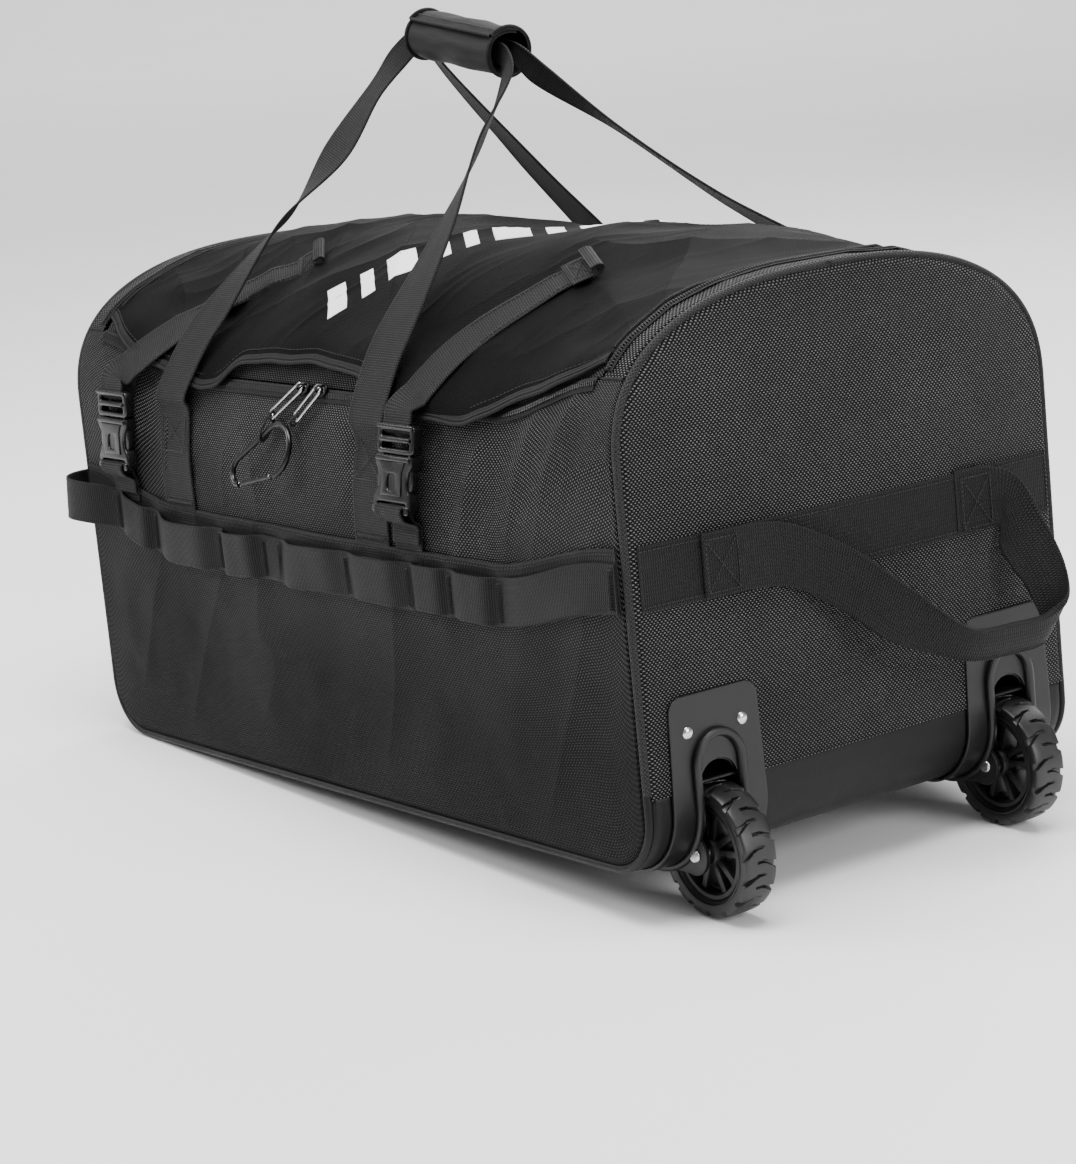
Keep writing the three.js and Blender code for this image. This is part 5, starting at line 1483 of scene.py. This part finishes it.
def build_pulls():
    """Sliders, wire pulls and their knotted cord loops."""
    for name, length, loop_turn, reach, fat in (("left", 48.3, 33.7, 32, 1.2), ("right", 40.9, 15.0, 15, 0.9)):
        origin, d, bar, n = pull_axes(name)
        m = matrix(origin - n * 1.0, d, -bar, n)
        half = length / 2
        outline = rounded(length, 10.5, 3.4, half - 1.6, 0)
        hole = rounded(length - 7, 6.4, 2.2, half - 1.8, 0)
        plate(f"pull_frame_{name}", [outline, hole], 2.0, 0.7, CHROME, f"pull_{name}", m, (f"zip_pull_{name}",))
        a = math.radians(28.5)
        n2 = vec(0, -math.cos(a), math.sin(a))
        up = vec(0, math.sin(a), math.cos(a))
        seat = origin - n2 * 7.5
        shape = [(-7.2, -4.4), (-5.2, -5.2), (3.5, -5.0), (6.8, -2.6), (6.8, 2.6), (3.5, 5.0), (-5.2, 5.2), (-7.2, 4.4)]
        plate(f"slider_body_{name}", [shape], 3.4, 1.1, GUNMETAL, f"slider_{name}",
              matrix(seat + n2 * 2.2, (1, 0, 0), up, n2), (f"zip_slider_{name}",))
        arch = [origin + d * s + n * h for s, h in
                ((-4.4, -3.4), (-3.9, 0.2), (-2.2, 2.5), (0, 3.1), (2.2, 2.5), (3.9, 0.2), (4.4, -3.4))]
        tube(f"slider_bridge_{name}", curve_through(np.array(arch), 24), 1.1, GUNMETAL, f"slider_{name}", sides=8)
        far = origin + d * (length - 3.4)
        angle = math.radians(loop_turn)
        e = d * math.cos(angle) - bar * math.sin(angle)
        t = np.linspace(0, 2 * np.pi, 60, endpoint=False)[:, None]
        ring = far + e * ((1 - np.cos(t)) / 2 * (reach - 4) - 3.4) + n * np.sin(t) * (3.6 - 0.9 * np.cos(t)) * fat
        tube(f"cord_loop_{name}", ring, 1.1, BRAID, f"pull_{name}", (f"pull_loop_{name}",), sides=8, loop=True)
        k = np.arange(46)[:, None]
        wrap = far + e * (1.5 + 0.055 * k) + n * np.sin(k * 0.55) * 2.7 + np.cross(e, n) * np.cos(k * 0.55) * 2.0
        tube(f"cord_knot_{name}", wrap, 0.9, BRAID, f"pull_{name}", sides=6)


def build_carabiner():
    """A wire carabiner with a large and a small end, set between its pivot and its gate."""
    swing, gate = JOINTS["carabiner_swing"], JOINTS["carabiner_gate_open"]
    n = TURN.T @ np.asarray(gate["axis"], float)
    hinge = from_row(gate["pos_m"])
    cross = from_row(swing["pos_m"])
    wire, big, small, reach = 2.5, 22, 12, 45
    big_at, small_at = reach - big - wire, small + wire - reach

    def arc(cx, r, start, end, k):
        t = np.radians(np.linspace(start, end, k))
        return np.stack([cx + r * np.cos(t), r * np.sin(t)], -1)

    p1, p2 = arc(big_at, big, 98, 98, 1)[0], arc(small_at, small, 100, 100, 1)[0]
    local_cross = p1 + (p2 - p1) * ((p1[0] - 6) / (p1[0] - p2[0]))
    local_hinge = arc(small_at, small, 260, 260, 1)[0]
    delta, world = local_cross - local_hinge, cross - hinge
    ca = math.atan2(delta[1], delta[0])
    w = unit(world)
    x = w * math.cos(ca) - np.cross(n, w) * math.sin(ca)
    y = np.cross(n, x)
    origin = hinge - x * local_hinge[0] - y * local_hinge[1]
    line = np.concatenate([arc(big_at, big, -98, 98, 40), arc(small_at, small, 100, 256, 30)])
    pts = origin + x * line[:, :1] + y * line[:, 1:]
    tube("carabiner_wire", curve_through(pts, 150), wire, GUNMETAL, "carabiner", ("carabiner_body",), sides=14)
    nose, foot = line[0], local_hinge
    run = nose - foot
    size = np.linalg.norm(run)
    t = np.linspace(2.6, size - 2.0, 24)
    bar = foot + (run / size) * t[:, None]
    bars = origin + x * bar[:, :1] + y * bar[:, 1:]
    tube("carabiner_bar", bars, wire * 0.82, GUNMETAL, "gate", ("carabiner_gate",), sides=12)
    for name, spot in (("pin", 3.2), ("catch", size - 2.4)):
        p = foot + run / size * spot
        c = origin + x * p[0] + y * p[1]
        line = np.array([c - n * 3.0, c - n * 2.6, c + n * 2.6, c + n * 3.0])
        tube(f"carabiner_{name}", line, 1.0, CHROME, "gate", sides=10)


# ---------------------------------------------------------------- stage, light and camera
def build_stage():
    """A floor, in metres, that runs up into a wall far behind the bag, square to the camera's bearing."""
    rows = [(-12, 0.0), (-6, 0.0), (0, 0.0), (5, 0.0), (7.4, 0.0), (8, 0.0), (9.5, 0.4), (10.5, 1.6), (11, 8)]
    path = curve_through(np.array([(0, a, b) for a, b in rows]), 60)
    bearing = math.radians(55)
    centre, away = Vector((-0.2, 0.1, 0)), Vector((-math.sin(bearing), math.cos(bearing), 0))
    side = Vector((away.y, -away.x, 0))
    verts = [tuple(centre + away * p[1] + side * s + Vector((0, 0, p[2] - 0.0004))) for p in path for s in (-16, 16)]
    faces = grid_faces(len(path), 2)
    net = Net("stage")
    net.done(net.blend(net.noise(3), grey(0.88), grey(0.92)), 0.75, net.bump(net.noise(700), 0.0001, 0.2),
             specular=0.1)
    floor = make("stage_floor", np.array(verts), faces, net.material, None, None, (), True, True)
    fix_normals(floor)


def area_light(name, position, target, size, power):
    data = bpy.data.lights.new(name, "AREA")
    data.shape, data.size, data.size_y, data.energy = "RECTANGLE", size[0], size[1], power
    obj = bpy.data.objects.new(name, data)
    obj.location = position
    obj.rotation_euler = (Vector(target) - Vector(position)).to_track_quat("-Z", "Y").to_euler()
    bpy.context.collection.objects.link(obj)


def build_lights():
    world = bpy.data.worlds.new("studio")
    bpy.context.scene.world = world
    world.use_nodes = True
    world.node_tree.nodes["Background"].inputs[0].default_value = (1, 1, 1, 1)
    world.node_tree.nodes["Background"].inputs[1].default_value = 0.42
    area_light("top_box", (0.3, -0.4, 2.6), (0, 0, 0.3), (2.2, 1.2), 125)
    area_light("front_box", (-2.2, -2.2, 1.9), (-0.1, 0, 0.3), (1.2, 1.2), 75)
    area_light("end_box", (2.9, 0.7, 1.3), (0.3, 0, 0.25), (1.2, 1.4), 60)
    area_light("back_box", (-0.8, 2.6, 2.2), (0, 0, 0.4), (2.2, 1.0), 70)
    area_light("backdrop_box", (-5.9, 4.1, 5.0), (-6.3, 4.4, 0), (9.0, 5.0), 400)


def build_camera():
    """The photograph's camera, solved in the bag frame: bearing, height and roll in degrees, place in mm."""
    az, el, roll = math.radians(54.95), math.radians(11.567), math.radians(-5.614)
    focal_px, long_side_px = 3334.12, 1164
    back = vec(math.sin(az) * math.cos(el), -math.cos(az) * math.cos(el), math.sin(el))
    right = vec(math.cos(az), math.sin(az), 0)
    up = np.cross(back, right)
    c, s = math.cos(roll), math.sin(roll)
    right, up = right * c + up * s, -right * s + up * c
    data = bpy.data.cameras.new("photo_camera")
    data.sensor_fit, data.sensor_width, data.lens = "AUTO", 36, focal_px * 36 / long_side_px
    data.clip_start, data.clip_end = 0.05, 60
    cam = bpy.data.objects.new("photo_camera", data)
    bpy.context.collection.objects.link(cam)
    m = np.eye(4)
    m[:3, :3] = TURN @ np.stack([right, up, back], -1)
    m[:3, 3] = place(vec(2309.67, -1628.40, 721.52))
    cam.matrix_world = Matrix(m)
    bpy.context.scene.camera = cam


build_panels()
build_strip_seams()
build_ends()
build_base()
build_piping()
build_lid()
build_print()
build_zips()
build_belts()
build_daisy()
build_handles()
build_grip()
build_lid_straps()
for _name in BUCKLE_X:
    build_buckle(_name)
for _name, _side in (("near", -1), ("far", 1)):
    build_housing(_name, _side)
    build_tyre(_name, _side)
    build_hub(_name, _side)
build_haul()
build_pulls()
build_carabiner()
build_stage()
build_lights()
build_camera()
